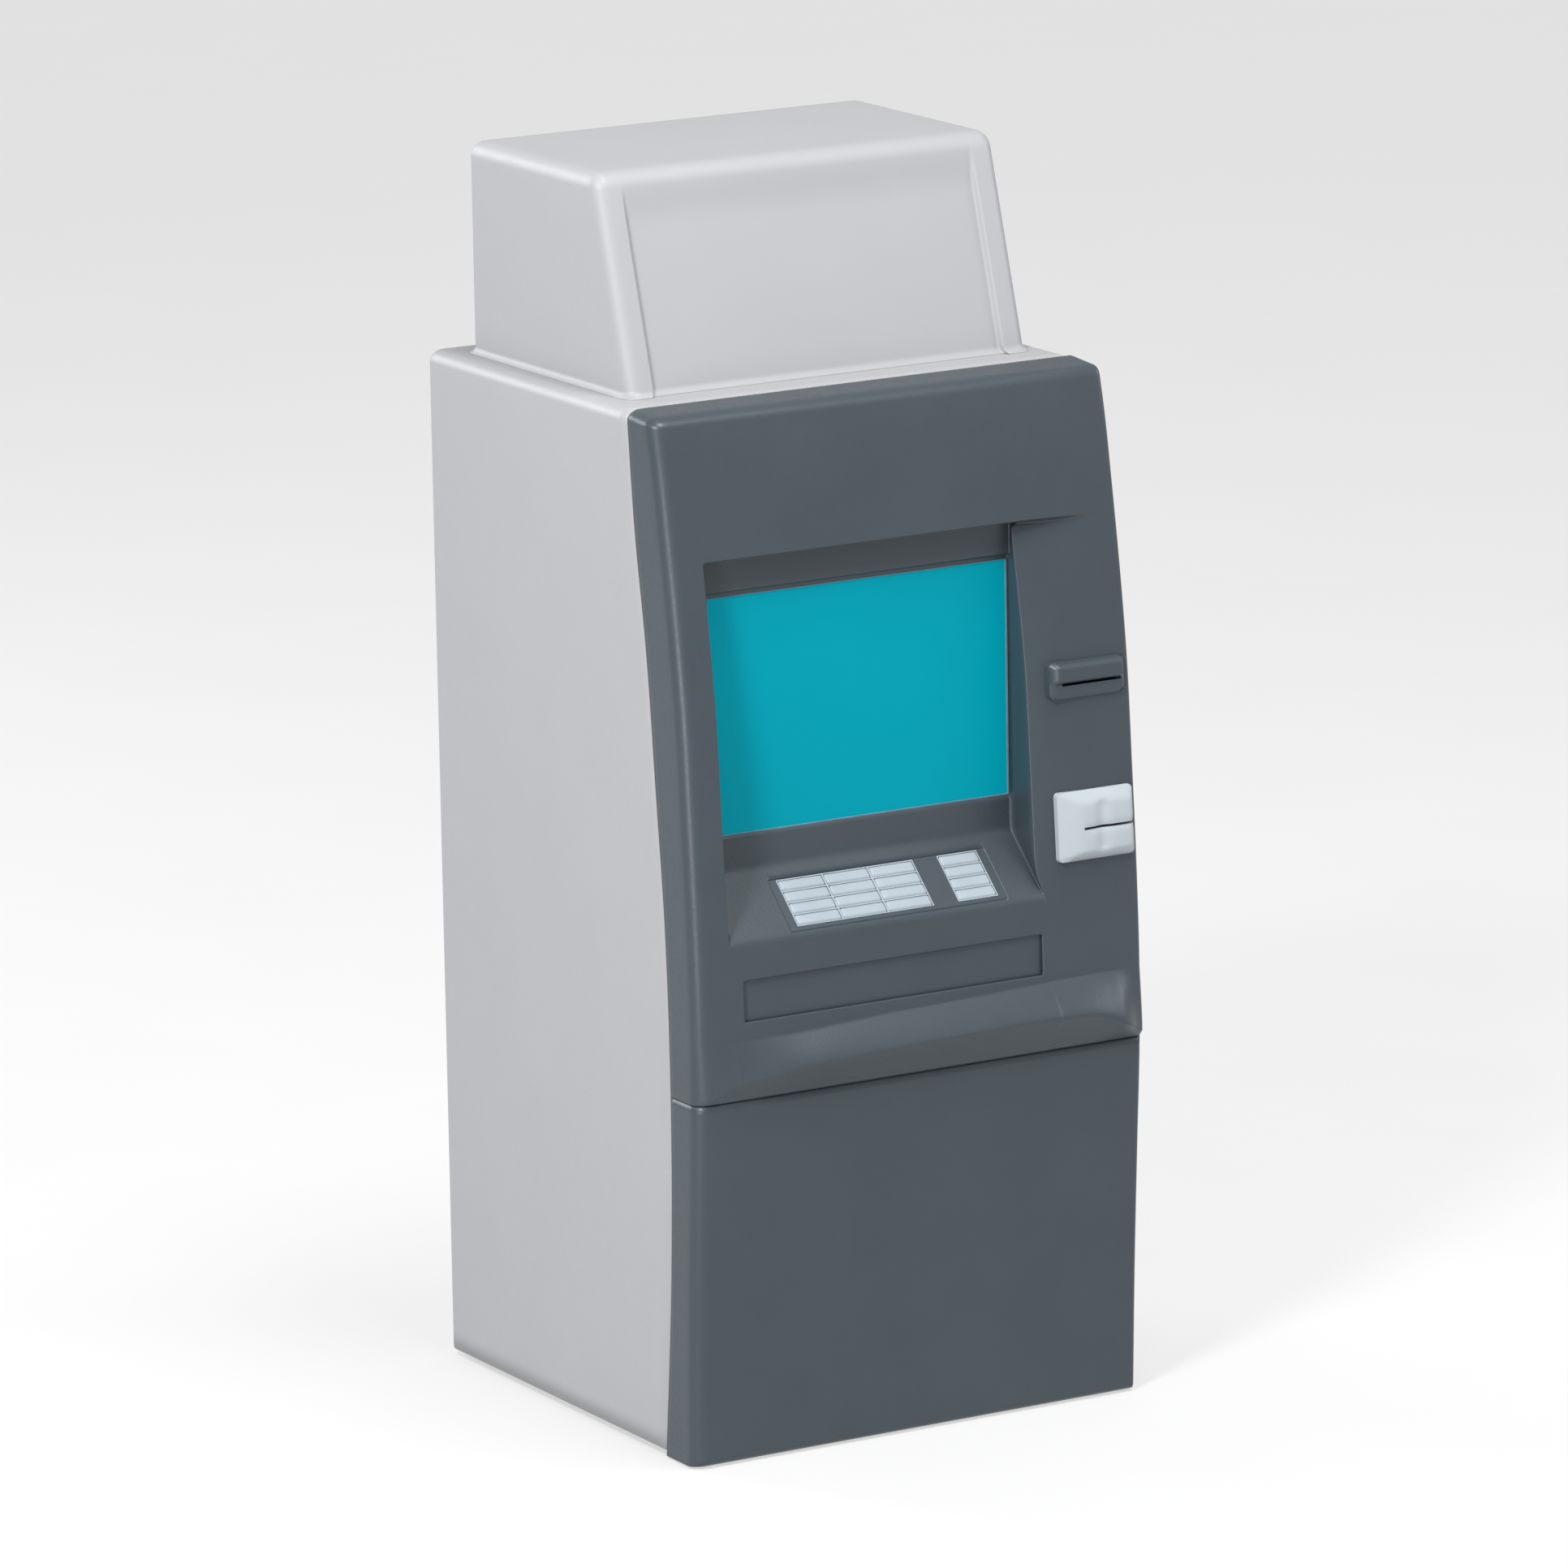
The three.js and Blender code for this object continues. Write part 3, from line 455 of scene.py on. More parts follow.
def cabinet_front_point(x, depth, z):
    """A point of the unrolled front, rounded at the side and top edges and bent to the front curve."""
    low, high = (-HALF, 0.0, -FAR), (HALF, FAR, BODY_TOP)
    x, depth, z = np.broadcast_arrays(x, depth, z)
    radius = edge_radius(x)
    radii = np.stack([radius, radius, np.full(radius.shape, EDGE_RADII[2])], axis=-1)
    near = np.minimum(depth, EDGE_RADII[1]) * radius / EDGE_RADII[1]
    px, pd, pz = round_off((x, near, z), low, high, radii)
    face = front_at(pz)
    behind = np.clip((depth - EDGE_RADII[1]) / BAND, 0, 1)
    out = face + pd + behind * (mate_at(pz) - SEAM / 2 - face - radius)
    fall = TOP_DROP * step(BODY_TOP - 45, BODY_TOP, pz) * (1 - np.clip((out - face) / 54, 0, 1))
    return px, out, pz - fall


def niche_depth(x, z):
    """How far the recessed niche lies behind the front curve, 0 outside it."""
    base = front_at(z)
    slope = (NICHE["back"] - NICHE["lip_depth"]) / (NICHE["crease"] - NICHE["lip"])
    shelf = NICHE["back"] - (NICHE["crease"] - z) * slope
    back = NICHE["back"] - 5.0 * step(1028, 1032, z)
    floor = -soft_max(-shelf, -back, 5.0)
    right = NICHE["right"]
    inside = step(NICHE["left"] - 4, NICHE["left"] + 4, x) * (1 - step(right - 3.6, right + 1.4, x))
    inside = inside * (1 - step(NICHE["top"] - 4, NICHE["top"] + 3, z))
    return inside * (soft_max(floor - base - 2.0, 0.0, 5.0) - 0.5), inside


def column_setback(x, z):
    """The right column rolls back towards the niche, and lies further back right under the canopy."""
    past = np.clip((x - NICHE["right"] + 4) / 62, 0, 1)
    roll = 16.0 * (1 - past) ** 2 * step(608, 690, z)
    under = 12.0 * (1 - step(NICHE["right"], HALF - 12, x)) * step(880, 1060, z)
    below = 1 - step(NICHE["top"] - 4, NICHE["top"] + 3, z)
    return step(NICHE["right"] - 10, NICHE["right"] - 4, x) * below * (roll + under * np.sqrt(past))


def border_lean(x, z, inside):
    """The column's rounded edge overhangs the niche's right wall a little."""
    right = NICHE["right"]
    near = step(right - 8, right - 4, x) * (1 - step(right, right + 48, x))
    high = step(615, 660, z) * (1 - step(NICHE["top"] - 8, NICHE["top"] - 2, z))
    return 9.0 * near * high * (1 - inside)


def ledge_reach(x, z):
    """Hand ledge: a roll whose nose climbs from the crease at the left end and drops back at the right."""
    nose, top = nose_at(x), ledge_top_at(x)
    over = np.clip((z - nose) / (top - nose), 0, 1)
    roll = 1 - over**1.3
    under = np.clip((z - SPLIT) / (nose - SPLIT), 0, 1)
    section = np.where(z >= nose, roll, -soft_max(-under, -1.0, 0.03) + 0.015)
    left = step(-306, -135, x) ** 0.6
    right = 0.3 + 0.7 * (1 - step(262, 303, x))
    return LEDGE_REACH * section * left * right * (1 - 0.1 * ((x - 60) / HALF) ** 2)


def front_relief(x, z):
    """Depth added to the front curve: niche and column go in, the ledge comes out."""
    niche, inside = niche_depth(x, z)
    return niche + (1 - inside) * column_setback(x, z) - ledge_reach(x, z)


def cabinet_front(name, xs, zs, relief, holes, wall):
    """Front, both side returns and, where the rows reach the top, the top band, as one skin."""
    depths = with_ends(EDGE_RADII[1] + spread(0, BAND, 14), 0.0)
    xs = with_ends(xs, -HALF, HALF)
    skin = Skin()

    def surface(x, depth, z):
        px, pd, pz = cabinet_front_point(x, depth, z)
        share = np.clip(1 - (pd - front_at(pz)) / edge_radius(px), 0, 1)
        lean = border_lean(px, pz, niche_depth(px, pz)[1])
        return row_frame(px - lean, pd + relief(px, pz) * share, pz)

    skin.sheet(lambda x, z: surface(x, 0.0, z), xs, zs, holes=holes)
    skin.sheet(lambda depth, z: surface(-HALF, depth, z), depths, zs, flip=True)
    skin.sheet(lambda depth, z: surface(HALF, depth, z), depths, zs)
    if zs[-1] > BODY_TOP - 1:
        skin.sheet(lambda x, depth: surface(x, depth, BODY_TOP), xs, depths)
    return skin.walled(name, wall)


def flat_ends():
    """Where the front's rounded side edges begin."""
    return -HALF + EDGE_RADII[0], HALF - EDGE_RADII[0] + TIGHTER


def fascia():
    left_end, right_end = flat_ends()
    shutter = (SHUTTER_LOW[0] + SHUTTER_LAP, SHUTTER_HIGH[0] - SHUTTER_LAP,
               SHUTTER_LOW[2] + SHUTTER_LAP, SHUTTER_HIGH[2] - SHUTTER_LAP)
    screen = (SCREEN_LOW[0] - 0.4, SCREEN_HIGH[0] + 0.4, SCREEN_LOW[2] - 0.4, SCREEN_HIGH[2] + 0.4)
    keys = (PLATE_LOW[0] - 0.4, PLATE_HIGH[0] + 0.4, PLATE_LOW[2] + 2.7, PLATE_HIGH[2] + 0.3)
    holes = [shutter, screen, keys, CARD_HOLE, RECEIPT_HOLE]
    forced_x = [left_end, right_end] + [edge for hole in holes for edge in hole[:2]]
    forced_z = [SPLIT, BODY_TOP - EDGE_RADII[2]] + [edge for hole in holes for edge in hole[2:]]
    xs = lines(forced_x, spread(NICHE["left"] - 5, NICHE["left"] + 5, 1.0),
               spread(NICHE["right"] - 5, NICHE["right"] + 5, 1.0), spread(264, 286, 2.5),
               spread(left_end, right_end, 5.5), gap=0.7)
    zs = lines(forced_z, spread(SPLIT, 532, 2.2), spread(618, 642, 2.0), spread(690, 708, 1.6),
               spread(1026, 1034, 0.8), spread(1066, 1076, 0.9), spread(SPLIT, BODY_TOP - 12, 6.0), gap=0.6)
    shell = cabinet_front("fascia_shell", xs, with_ends(zs, high=BODY_TOP), front_relief, holes, 3.2)
    put(shell, "fascia", "fascia_grey", ["upper_fascia"])


def lower_panel():
    left_end, right_end = flat_ends()
    bottom, top = PANEL_LOW[2], PANEL_HIGH[2] + 0.4
    xs = lines([left_end, right_end], spread(left_end, right_end, 9.0))
    zs = lines([bottom, top], spread(bottom, bottom + 8, 2.0), spread(bottom, top, 9.0))

    def foot(x, z):
        return 5.0 * (1 - np.clip((z - bottom) / 6.0, 0, 1)) ** 2

    shell = cabinet_front("lower_panel_shell", xs, zs, foot, [], 4.0)
    put(shell, "cabinet", "fascia_grey", ["lower_front_panel"])


# ---- casing ----
CASE_RADII = np.array([18.0, 20.0, 16.0])
REAR_OPEN = {"side": 283.0, "bottom": 44.0, "top": 1222.0}
FOOT_ROUND = 17.0


def casing_point(x, depth, z, sides):
    """A point of the casing, rounded at its rear, top and side edges; depth below 0..1 is unrolled."""
    low, high = (-HALF, -FAR, -FAR), (HALF, REAR, BODY_TOP)
    start_arc = REAR - CASE_RADII[1]
    x, depth, z = np.broadcast_arrays(x, depth, z)
    flat = depth <= 1.0
    box_depth = np.where(flat, start_arc - 1.0, depth)
    px, pd, pz = round_off((x, box_depth, z), low, high, CASE_RADII)
    begin = mate_at(pz) + SEAM / 2
    pd = np.where(flat, begin + (start_arc - begin) * np.clip(depth, 0, 1), pd)
    if sides:
        into = np.clip(pd - (REAR - FOOT_ROUND), 0, FOOT_ROUND)
        lift = FOOT_ROUND - np.sqrt(FOOT_ROUND**2 - into**2)
        bottom = CASING_LOW[2]
        share = np.clip((pz - bottom) / (300 - bottom), 0, 1)
        pz = np.where(pz < 300, bottom + lift + (300 - bottom - lift) * share, pz)
    return row_frame(px, pd, pz)


def casing():
    round_x, round_d, round_z = CASE_RADII
    bottom = CASING_LOW[2]
    side, head = REAR_OPEN["side"], REAR_OPEN["top"]
    depths = np.concatenate([spread(0, 1, 0.045), with_ends([REAR - round_d], high=REAR)])
    side_z = lines([bottom, BODY_TOP - round_z], spread(bottom, BODY_TOP - round_z, 24.0))
    rows = with_ends(side_z, high=BODY_TOP)
    across = with_ends(spread(-HALF + round_x, HALF - round_x, 24.0), -HALF, HALF)
    rear_x = lines([-HALF + round_x, HALF - round_x, -side, side], spread(-side, side, 24.0))
    skin = Skin()
    skin.sheet(lambda depth, z: casing_point(-HALF, depth, z, True), depths, rows, flip=True)
    skin.sheet(lambda depth, z: casing_point(HALF, depth, z, True), depths, rows)
    skin.sheet(lambda x, depth: casing_point(x, depth, BODY_TOP, False), across, depths)
    skin.sheet(lambda x, z: casing_point(x, REAR, z, True), with_ends(rear_x, -HALF, HALF),
               with_ends(lines([*side_z, head]), high=BODY_TOP), flip=True, holes=[(-side, side, -10, head)])
    put(skin.walled("casing_shell", 3.0), "cabinet", "casing_grey", ["outer_casing"])
    rear_rail()


def rear_rail():
    """The casing's low rear rail, with the hole for the mains inlet."""
    inlet_low, inlet_high = cad("power_inlet")
    hole = (inlet_low[0] - 0.4, inlet_high[0] + 0.4, inlet_low[2] - 0.4, inlet_high[2] + 0.4)
    side, bottom = REAR_OPEN["side"], CASING_LOW[2]
    zs = lines([bottom, REAR_OPEN["bottom"], hole[2], hole[3]], [3.6, 5, 7, 13, 16.5, 20, 29], gap=0.4)
    xs = lines([-side - 6, side + 6, hole[0], hole[1]], spread(-side, side, 40.0))

    def surface(x, z):
        into = np.clip(bottom + FOOT_ROUND - z, 0, FOOT_ROUND)
        return row_frame(x, REAR - FOOT_ROUND + np.sqrt(FOOT_ROUND**2 - into**2), z)

    skin = Skin()
    skin.sheet(surface, xs, zs, flip=True, holes=[hole])
    put(skin.walled("rear_rail", 3.0), "cabinet", "casing_grey")


# ---- blocks, discs and tubes ----
AXIS_TURNS = {"x": Matrix.Rotation(math.pi / 2, 4, "Y"), "y": Matrix.Rotation(-math.pi / 2, 4, "X"),
              "z": Matrix.Identity(4)}


def about(x, z, angle):
    """Turns a shape made about x = 0, z = 0 and moves it to its place on the front or rear."""
    return Matrix.Translation((x * MM, 0, z * MM)) @ Matrix.Rotation(angle, 4, "Y")


class Pile:
    """Gathers rounded blocks, discs and tubes into one mesh, with depths from the front plane or a face."""

    def __init__(self, face=0.0):
        self.mesh = bmesh.new()
        self.start = face + FRONT_PLANE

    def take(self, work, matrix=None):
        part = bpy.data.meshes.new("part")
        work.to_mesh(part)
        work.free()
        if matrix is not None:
            part.transform(matrix)
        self.mesh.from_mesh(part)
        bpy.data.meshes.remove(part)

    def box(self, x0, x1, d0, d1, z0, z1, bevel=1.0, segments=2, matrix=None):
        work = bmesh.new()
        bmesh.ops.create_cube(work, size=1.0)
        low = Vector((x0, d0 + self.start, z0)) * MM
        high = Vector((x1, d1 + self.start, z1)) * MM
        for v in work.verts:
            v.co = Vector((low[i] + high[i]) / 2 + v.co[i] * (high[i] - low[i]) for i in range(3))
        width = min(bevel * MM, min(high - low) * 0.45)
        if width > 0:
            bmesh.ops.bevel(work, geom=work.edges[:], offset=width, segments=segments, profile=0.5,
                            affect="EDGES")
        self.take(work, matrix)
        return self

    def disc(self, x, depth, z, axis, radius, length, bevel=0.5, sides=28):
        """A round bar that starts at the point and runs along the axis, its rims rounded."""
        work = bmesh.new()
        bmesh.ops.create_cone(work, cap_ends=True, segments=sides, radius1=radius * MM, radius2=radius * MM,
                              depth=length * MM)
        rims = [e for e in work.edges if abs(e.verts[0].co.z - e.verts[1].co.z) < 1e-7]
        if bevel:
            bmesh.ops.bevel(work, geom=rims, offset=bevel * MM, segments=2, profile=0.5, affect="EDGES")
        middle = Vector((x, depth + self.start, z)) * MM
        middle["xyz".index(axis)] += length * MM / 2
        self.take(work, Matrix.Translation(middle) @ AXIS_TURNS[axis])
        return self

    def ring(self, x, depth, z, axis, radius, wire, sides=48):
        """A wire ring about an axis."""
        work = bmesh.new()
        loops = []
        for i in range(sides):
            angle = 2 * math.pi * i / sides
            out = Vector((math.cos(angle), math.sin(angle), 0))
            up = Vector((0, 0, wire))
            loops.append([work.verts.new((out * (radius + wire * math.cos(t)) + up * math.sin(t)) * MM)
                          for t in np.arange(8) * math.pi / 4])
        bridge(work, loops + loops[:1])
        self.take(work, Matrix.Translation(Vector((x, depth + self.start, z)) * MM) @ AXIS_TURNS[axis])
        return self

    def tube(self, points, radius, sides=8):
        """A round tube through (x, depth, z) points, its bends softened."""
        path = [Vector((x, depth + self.start, z)) * MM for x, depth, z in points]
        for _ in range(3):
            cut = [path[0]]
            for a, b in zip(path, path[1:]):
                cut += [a.lerp(b, 0.25), a.lerp(b, 0.75)]
            path = cut + [path[-1]]
        work = bmesh.new()
        across = Vector((0.31, 0.52, 0.79))
        rings = []
        for i, point in enumerate(path):
            along = (path[min(i + 1, len(path) - 1)] - path[max(i - 1, 0)]).normalized()
            across = (across - along * across.dot(along)).normalized()
            other = along.cross(across)
            rings.append([work.verts.new(point + (across * math.cos(t) + other * math.sin(t)) * radius * MM)
                          for t in np.arange(sides) * 2 * math.pi / sides])
        bridge(work, rings, True)
        work.faces.new(rings[0][::-1])
        work.faces.new(rings[-1])
        self.take(work)
        return self

    def put(self, name, body, slot, replaces=(), look=None, angle=40):
        """Makes the pile one piece of the scene."""
        mesh = bpy.data.meshes.new(name)
        self.mesh.normal_update()
        self.mesh.to_mesh(mesh)
        self.mesh.free()
        put(crease_shading(add_object(name, mesh), angle), body, slot, replaces, look)


# ---- topper ----
TOPPER_RADII = np.array([18.0, 18.0, 20.0])
TOPPER_FRONT = (164.0, 239.0)
RIB = 37.0
PANEL_RECESS = 7.0


def topper_front(z):
    rise = np.clip((z - BODY_TOP) / (TOPPER_HIGH[2] - BODY_TOP), 0, 1)
    return TOPPER_FRONT[0] + (TOPPER_FRONT[1] - TOPPER_FRONT[0]) * rise


def topper_surface(x, depth, z, recess=0.0):
    """Rounded topper box with a leaning front and a small flare where it meets the cabinet."""
    half = TOPPER_HIGH[0]
    rear = TOPPER_HIGH[1] - FRONT_PLANE
    low, high = (-half, 0.0, -FAR), (half, rear, TOPPER_HIGH[2])
    px, pd, pz = round_off((x, depth, z), low, high, TOPPER_RADII)
    behind = np.clip((rear - TOPPER_RADII[1] - pd) / (rear - 2 * TOPPER_RADII[1]), 0, 1)
    out = pd + topper_front(pz) * behind
    flare = 5.0 * np.clip(1 - (pz - TOPPER_LOW[2]) / 8.0, 0, 1) ** 2
    middle = (topper_front(pz) + rear) / 2
    px = px + flare * np.clip(px / half, -1, 1)
    out = out + flare * np.clip((out - middle) / 140.0, -1, 1) + recess
    return row_frame(px, out, pz)


def topper():
    half, bottom, top = TOPPER_HIGH[0], TOPPER_LOW[2], TOPPER_HIGH[2]
    rear = TOPPER_HIGH[1] - FRONT_PLANE
    round_x, round_d, round_z = TOPPER_RADII
    window = half - RIB
    flat_x = lines([-half + round_x, half - round_x, -window, window],
                   spread(-window - 6, -window + 6, 1.2), spread(window - 6, window + 6, 1.2),
                   spread(-half + round_x, half - round_x, 14.0), gap=0.8)
    flat_z = lines([bottom, top - round_z, bottom + 1], spread(bottom, bottom + 9, 1.5),
                   spread(bottom, top - round_z, 12.0), gap=0.8)
    xs, zs = with_ends(flat_x, -half, half), with_ends(flat_z, high=top)
    depths = with_ends(spread(round_d, rear - round_d, 18.0), 0.0, rear)

    def front(x, z):
        edge = 1 - step(window - 1.0, window + 4.5, np.abs(x))
        return topper_surface(x, 0.0, z, PANEL_RECESS * edge * (1 - step(1436, 1492, z)))

    skin = Skin()
    skin.sheet(front, xs, zs)
    skin.sheet(lambda x, z: topper_surface(x, rear, z), xs, zs, flip=True)
    skin.sheet(lambda depth, z: topper_surface(-half, depth, z), depths, zs, flip=True)
    skin.sheet(lambda depth, z: topper_surface(half, depth, z), depths, zs)
    skin.sheet(lambda x, depth: topper_surface(x, depth, top), xs, depths)
    put(skin.walled("topper_shell", 3.0), "cabinet", "casing_grey", ["topper_housing", "topper_panel"])


# ---- user's controls ----
SHELF_ORIGIN = ((NICHE["back"] + NICHE["lip_depth"]) / 2, (NICHE["crease"] + NICHE["lip"]) / 2)
KEY_HALF = (7.0, 3.75)   # half height up the slope and half thickness of a key cap
KEY_RADII = np.array([2.6, 2.6, 2.2])
PIN_KEYS = [f"key_pin_{i}" for i in range(1, 13)]
SIDE_KEYS = [f"key_side_{i}" for i in range(1, 5)]
SHELF_COS, SHELF_SIN = math.cos(SHELF_ANGLE), math.sin(SHELF_ANGLE)


def on_shelf(x, up, out):
    """Row-frame place of a point on the shelf: x, distance up the slope, height above it."""
    depth = SHELF_ORIGIN[0] + up * SHELF_COS - out * SHELF_SIN
    return row_frame(x, depth, SHELF_ORIGIN[1] + up * SHELF_SIN + out * SHELF_COS)


def key_place(name):
    """Left, right, lower and upper edge of a key on the shelf, and its middle's height above it."""
    low, high = cad(name)
    middle = (low + high) / 2
    depth, rise = middle[1] - FRONT_PLANE - SHELF_ORIGIN[0], middle[2] - SHELF_ORIGIN[1]
    up = depth * SHELF_COS + rise * SHELF_SIN
    return low[0], high[0], up - KEY_HALF[0], up + KEY_HALF[0], -depth * SHELF_SIN + rise * SHELF_COS


def key_cap(name):
    """A pillow-topped key cap with softly rounded edges."""
    x0, x1, s0, s1, out = key_place(name)
    low, high = (x0, s0, out - KEY_HALF[1]), (x1, s1, out + KEY_HALF[1])
    skin = Skin()

    def side(fixed, value, flip):
        def surface(u, v):
            axes = [u, v]
            axes.insert(fixed, value)
            x, up, rise = round_off(axes, low, high, KEY_RADII)
            sag = 0.5 * np.cos((up - (s0 + s1) / 2) / (s1 - s0) * math.pi)
            return on_shelf(x, up, rise + np.where(rise > high[2] - 1.0, sag - 0.35, 0.0))

        us, vs = [with_ends(spread(low[i] + KEY_RADII[i], high[i] - KEY_RADII[i], 7.0), low[i], high[i], 4)
                  for i in range(3) if i != fixed]
        skin.sheet(surface, us, vs, flip)

    for fixed in range(3):
        side(fixed, low[fixed], fixed != 1)
        side(fixed, high[fixed], fixed == 1)
    put(skin.build(name + "_cap"), name, "key_plastic", [name])


def shelf_plate(name, surface, xs, ups, holes, wall, slot, replaces=()):
    """A thin flat-shaded plate that lies on the shelf."""
    skin = Skin()
    skin.sheet(surface, xs, ups, holes=holes)
    put(skin.walled(name, wall, smooth=False), "fascia", slot, replaces)


def key_grille(name, keys):
    """The pale lattice that fills the seams between the keys of one block."""
    places = [key_place(key) for key in keys]
    play, rim, height = 0.45, 1.2, 1.5
    xs = sorted({round(v, 2) for p in places for v in (p[0] - play, p[1] + play)})
    ups = sorted({round(v, 2) for p in places for v in (p[2] - play, p[3] + play)})
    xs = [xs[0] - rim] + xs + [xs[-1] + rim]
    ups = [ups[0] - rim] + ups + [ups[-1] + rim]
    holes = [place[:4] for place in places]
    shelf_plate(name, lambda x, up: on_shelf(x, up, height), xs, ups, holes, 1.4, "key_plastic")


def keypad():
    for name in PIN_KEYS + SIDE_KEYS:
        key_cap(name)
    key_grille("pin_grille", PIN_KEYS)
    key_grille("side_grille", SIDE_KEYS)
    keypad_surround()


def keypad_surround():
    """The thin dark plate round both key blocks, lapping over the opening in the shelf."""
    play, lap = 0.5, 6.6
    holes = []
    for keys in (PIN_KEYS, SIDE_KEYS):
        x0, x1, s0, s1 = np.array([key_place(key)[:4] for key in keys]).T
        holes.append((x0.min() - play, x1.max() + play, s0.min() - play, s1.max() + play))
    xs = lines([PLATE_LOW[0] - 1.6, PLATE_HIGH[0] + 1.6, PLATE_LOW[0] - 0.9, PLATE_HIGH[0] + 0.9]
               + [v for h in holes for v in h[:2]])
    low, high = holes[0][2] - lap, holes[0][3] + lap
    ups = lines([low, high, low + 0.7, high - 0.7] + [v for h in holes for v in h[2:]])

    def surface(x, up):
        inner = (x > xs[0]) & (x < xs[-1]) & (up > ups[0]) & (up < ups[-1])
        return on_shelf(x, up, 0.15 + 0.45 * inner)

    shelf_plate("keypad_surround", surface, xs, ups, holes, 1.2, "fascia_grey", ["keypad_plate"])


class Bezel:
    """A raised plate on the fascia's right column, shaped by a height function."""

    def __init__(self, edges, corner):
        self.low = np.array([edges["left"], edges["bottom"]])
        self.high = np.array([edges["right"], edges["top"]])
        self.middle = (edges["bottom"] + edges["top"]) / 2
        self.lean = math.atan2(float(front_at(self.middle + 20) - front_at(self.middle - 20)), 40.0)
        self.corner = corner

    def build(self, name, height, slit, foot):
        (x0, z0), (x1, z1) = self.low + self.corner, self.high - self.corner
        xs = lines([x0, x1] + [v for v in slit[:2] if v < self.high[0]], spread(x0, x1, 2.2), gap=0.9)
        zs = lines([z0, z1, *slit[2:]], spread(z0, z1, 1.8), gap=0.7)

        def surface(x, z):
            x, z = round_off((x, z), self.low, self.high, self.corner)
            return self.place(x, z, height(x, z))

        skin = Skin()
        skin.sheet(surface, with_ends(xs, self.low[0], self.high[0], 5),
                   with_ends(zs, self.low[1], self.high[1], 5), holes=[slit])
        obj = skin.build(name)
        self.close(obj, foot)
        return crease_shading(obj, 50)

    def place(self, x, z, out):
        c, s = math.cos(self.lean), math.sin(self.lean)
        rise = z - self.middle
        depth = float(front_at(self.middle)) - 0.4 - out * c + rise * s
        return row_frame(x, depth, self.middle + out * s + rise * c)

    def close(self, obj, foot):
        """Draws every open edge back to the fascia, for the outer walls and the slot's own walls."""
        work = bmesh.new()
        work.from_mesh(obj.data)
        edges = [e for e in work.edges if e.is_boundary]
        new = bmesh.ops.extrude_edge_only(work, edges=edges)["geom"]
        back = Vector((0, math.cos(self.lean), -math.sin(self.lean)))
        origin = Vector(self.place(0.0, self.middle, foot)) * MM
        for v in (g for g in new if isinstance(g, bmesh.types.BMVert)):
            v.co += back * (origin - v.co).dot(back)
        bmesh.ops.recalc_face_normals(work, faces=work.faces)
        work.to_mesh(obj.data)
        work.free()


def card_bezel():
    """White block: broad bevels, a slit from the middle out to the right edge, a finger groove down it."""
    left, right, bottom, top, middle = CARD.values()
    slit = (224.0, 400.0, middle - 1.6, middle + 1.6)

    def height(x, z):
        slopes = [3 + 0.36 * (x - left), 3.5 + 0.62 * (top - z), 3 + 0.95 * (z - bottom),
                  5 + 1.4 * (right - x), np.full_like(x, 12.5)]
        groove = 3.2 * np.exp(-(((x - 251) / 8.5) ** 2)) * step(673, 684, z) * (1 - step(731, 742, z))
        sink = 1.6 * np.exp(-(((z - middle) / 5.0) ** 2)) * step(220, 236, x)
        return soft_min(slopes, 2.0) - groove - sink

    bezel = Bezel(CARD, 5.0).build("card_bezel", height, slit, -5.0)
    put(bezel, "fascia", "white_plastic", ["card_slot_bezel"])


def receipt_bezel():
    """Dark hood, rounded like a bar, over a slot with a flat lip below it."""
    left, right, bottom, top, middle, hood = RECEIPT.values()
    slot = (205.0, 287.0, middle - 1.5, middle + 1.5)
    bar_half = 13.5

    def height(x, z):
        up = np.clip((z - top + bar_half) / bar_half, -1, 1)
        bar = 14.5 * np.sqrt(np.clip(1 - np.abs(up) ** 3.2, 0.05, 1))
        lip = soft_min([3 + 1.0 * (z - bottom), np.full_like(z, 8.0)], 2.0)
        ends = soft_min([3.5 + 1.3 * (x - left), 3.5 + 1.6 * (right - x), np.full_like(x, 15.0)], 2.0)
        return soft_min([np.where(z > hood, bar, lip), ends], 1.5)

    bezel = Bezel(RECEIPT, 6.0).build("receipt_bezel", height, slot, -9.0)
    put(bezel, "fascia", "fascia_grey", ["receipt_slot_bezel"])


def screen_edge():
    """Thin bluish gasket round the screen, in the seam between the glass and the fascia."""
    back = NICHE["back"]
    work = bmesh.new()
    profile = [(1.5, back + 1.0), (1.1, back - 0.5), (-0.9, back - 0.5), (-1.3, back + 0.5)]
    corners = [(SCREEN_LOW[0], SCREEN_LOW[2], -1, -1), (SCREEN_HIGH[0], SCREEN_LOW[2], 1, -1),
               (SCREEN_HIGH[0], SCREEN_HIGH[2], 1, 1), (SCREEN_LOW[0], SCREEN_HIGH[2], -1, 1)]
    loops = []
    for x, z, sx, sz in corners:
        loops.append([work.verts.new(((x + sx * out) * MM, (depth + FRONT_PLANE) * MM, (z + sz * out) * MM))
                      for out, depth in profile])
    bridge(work, loops + loops[:1], True)
    bmesh.ops.recalc_face_normals(work, faces=work.faces)
    mesh = bpy.data.meshes.new("screen_gasket")
    work.to_mesh(mesh)
    work.free()
    put(add_object("screen_gasket", mesh), "fascia", "screen_teal", look="gasket_blue")


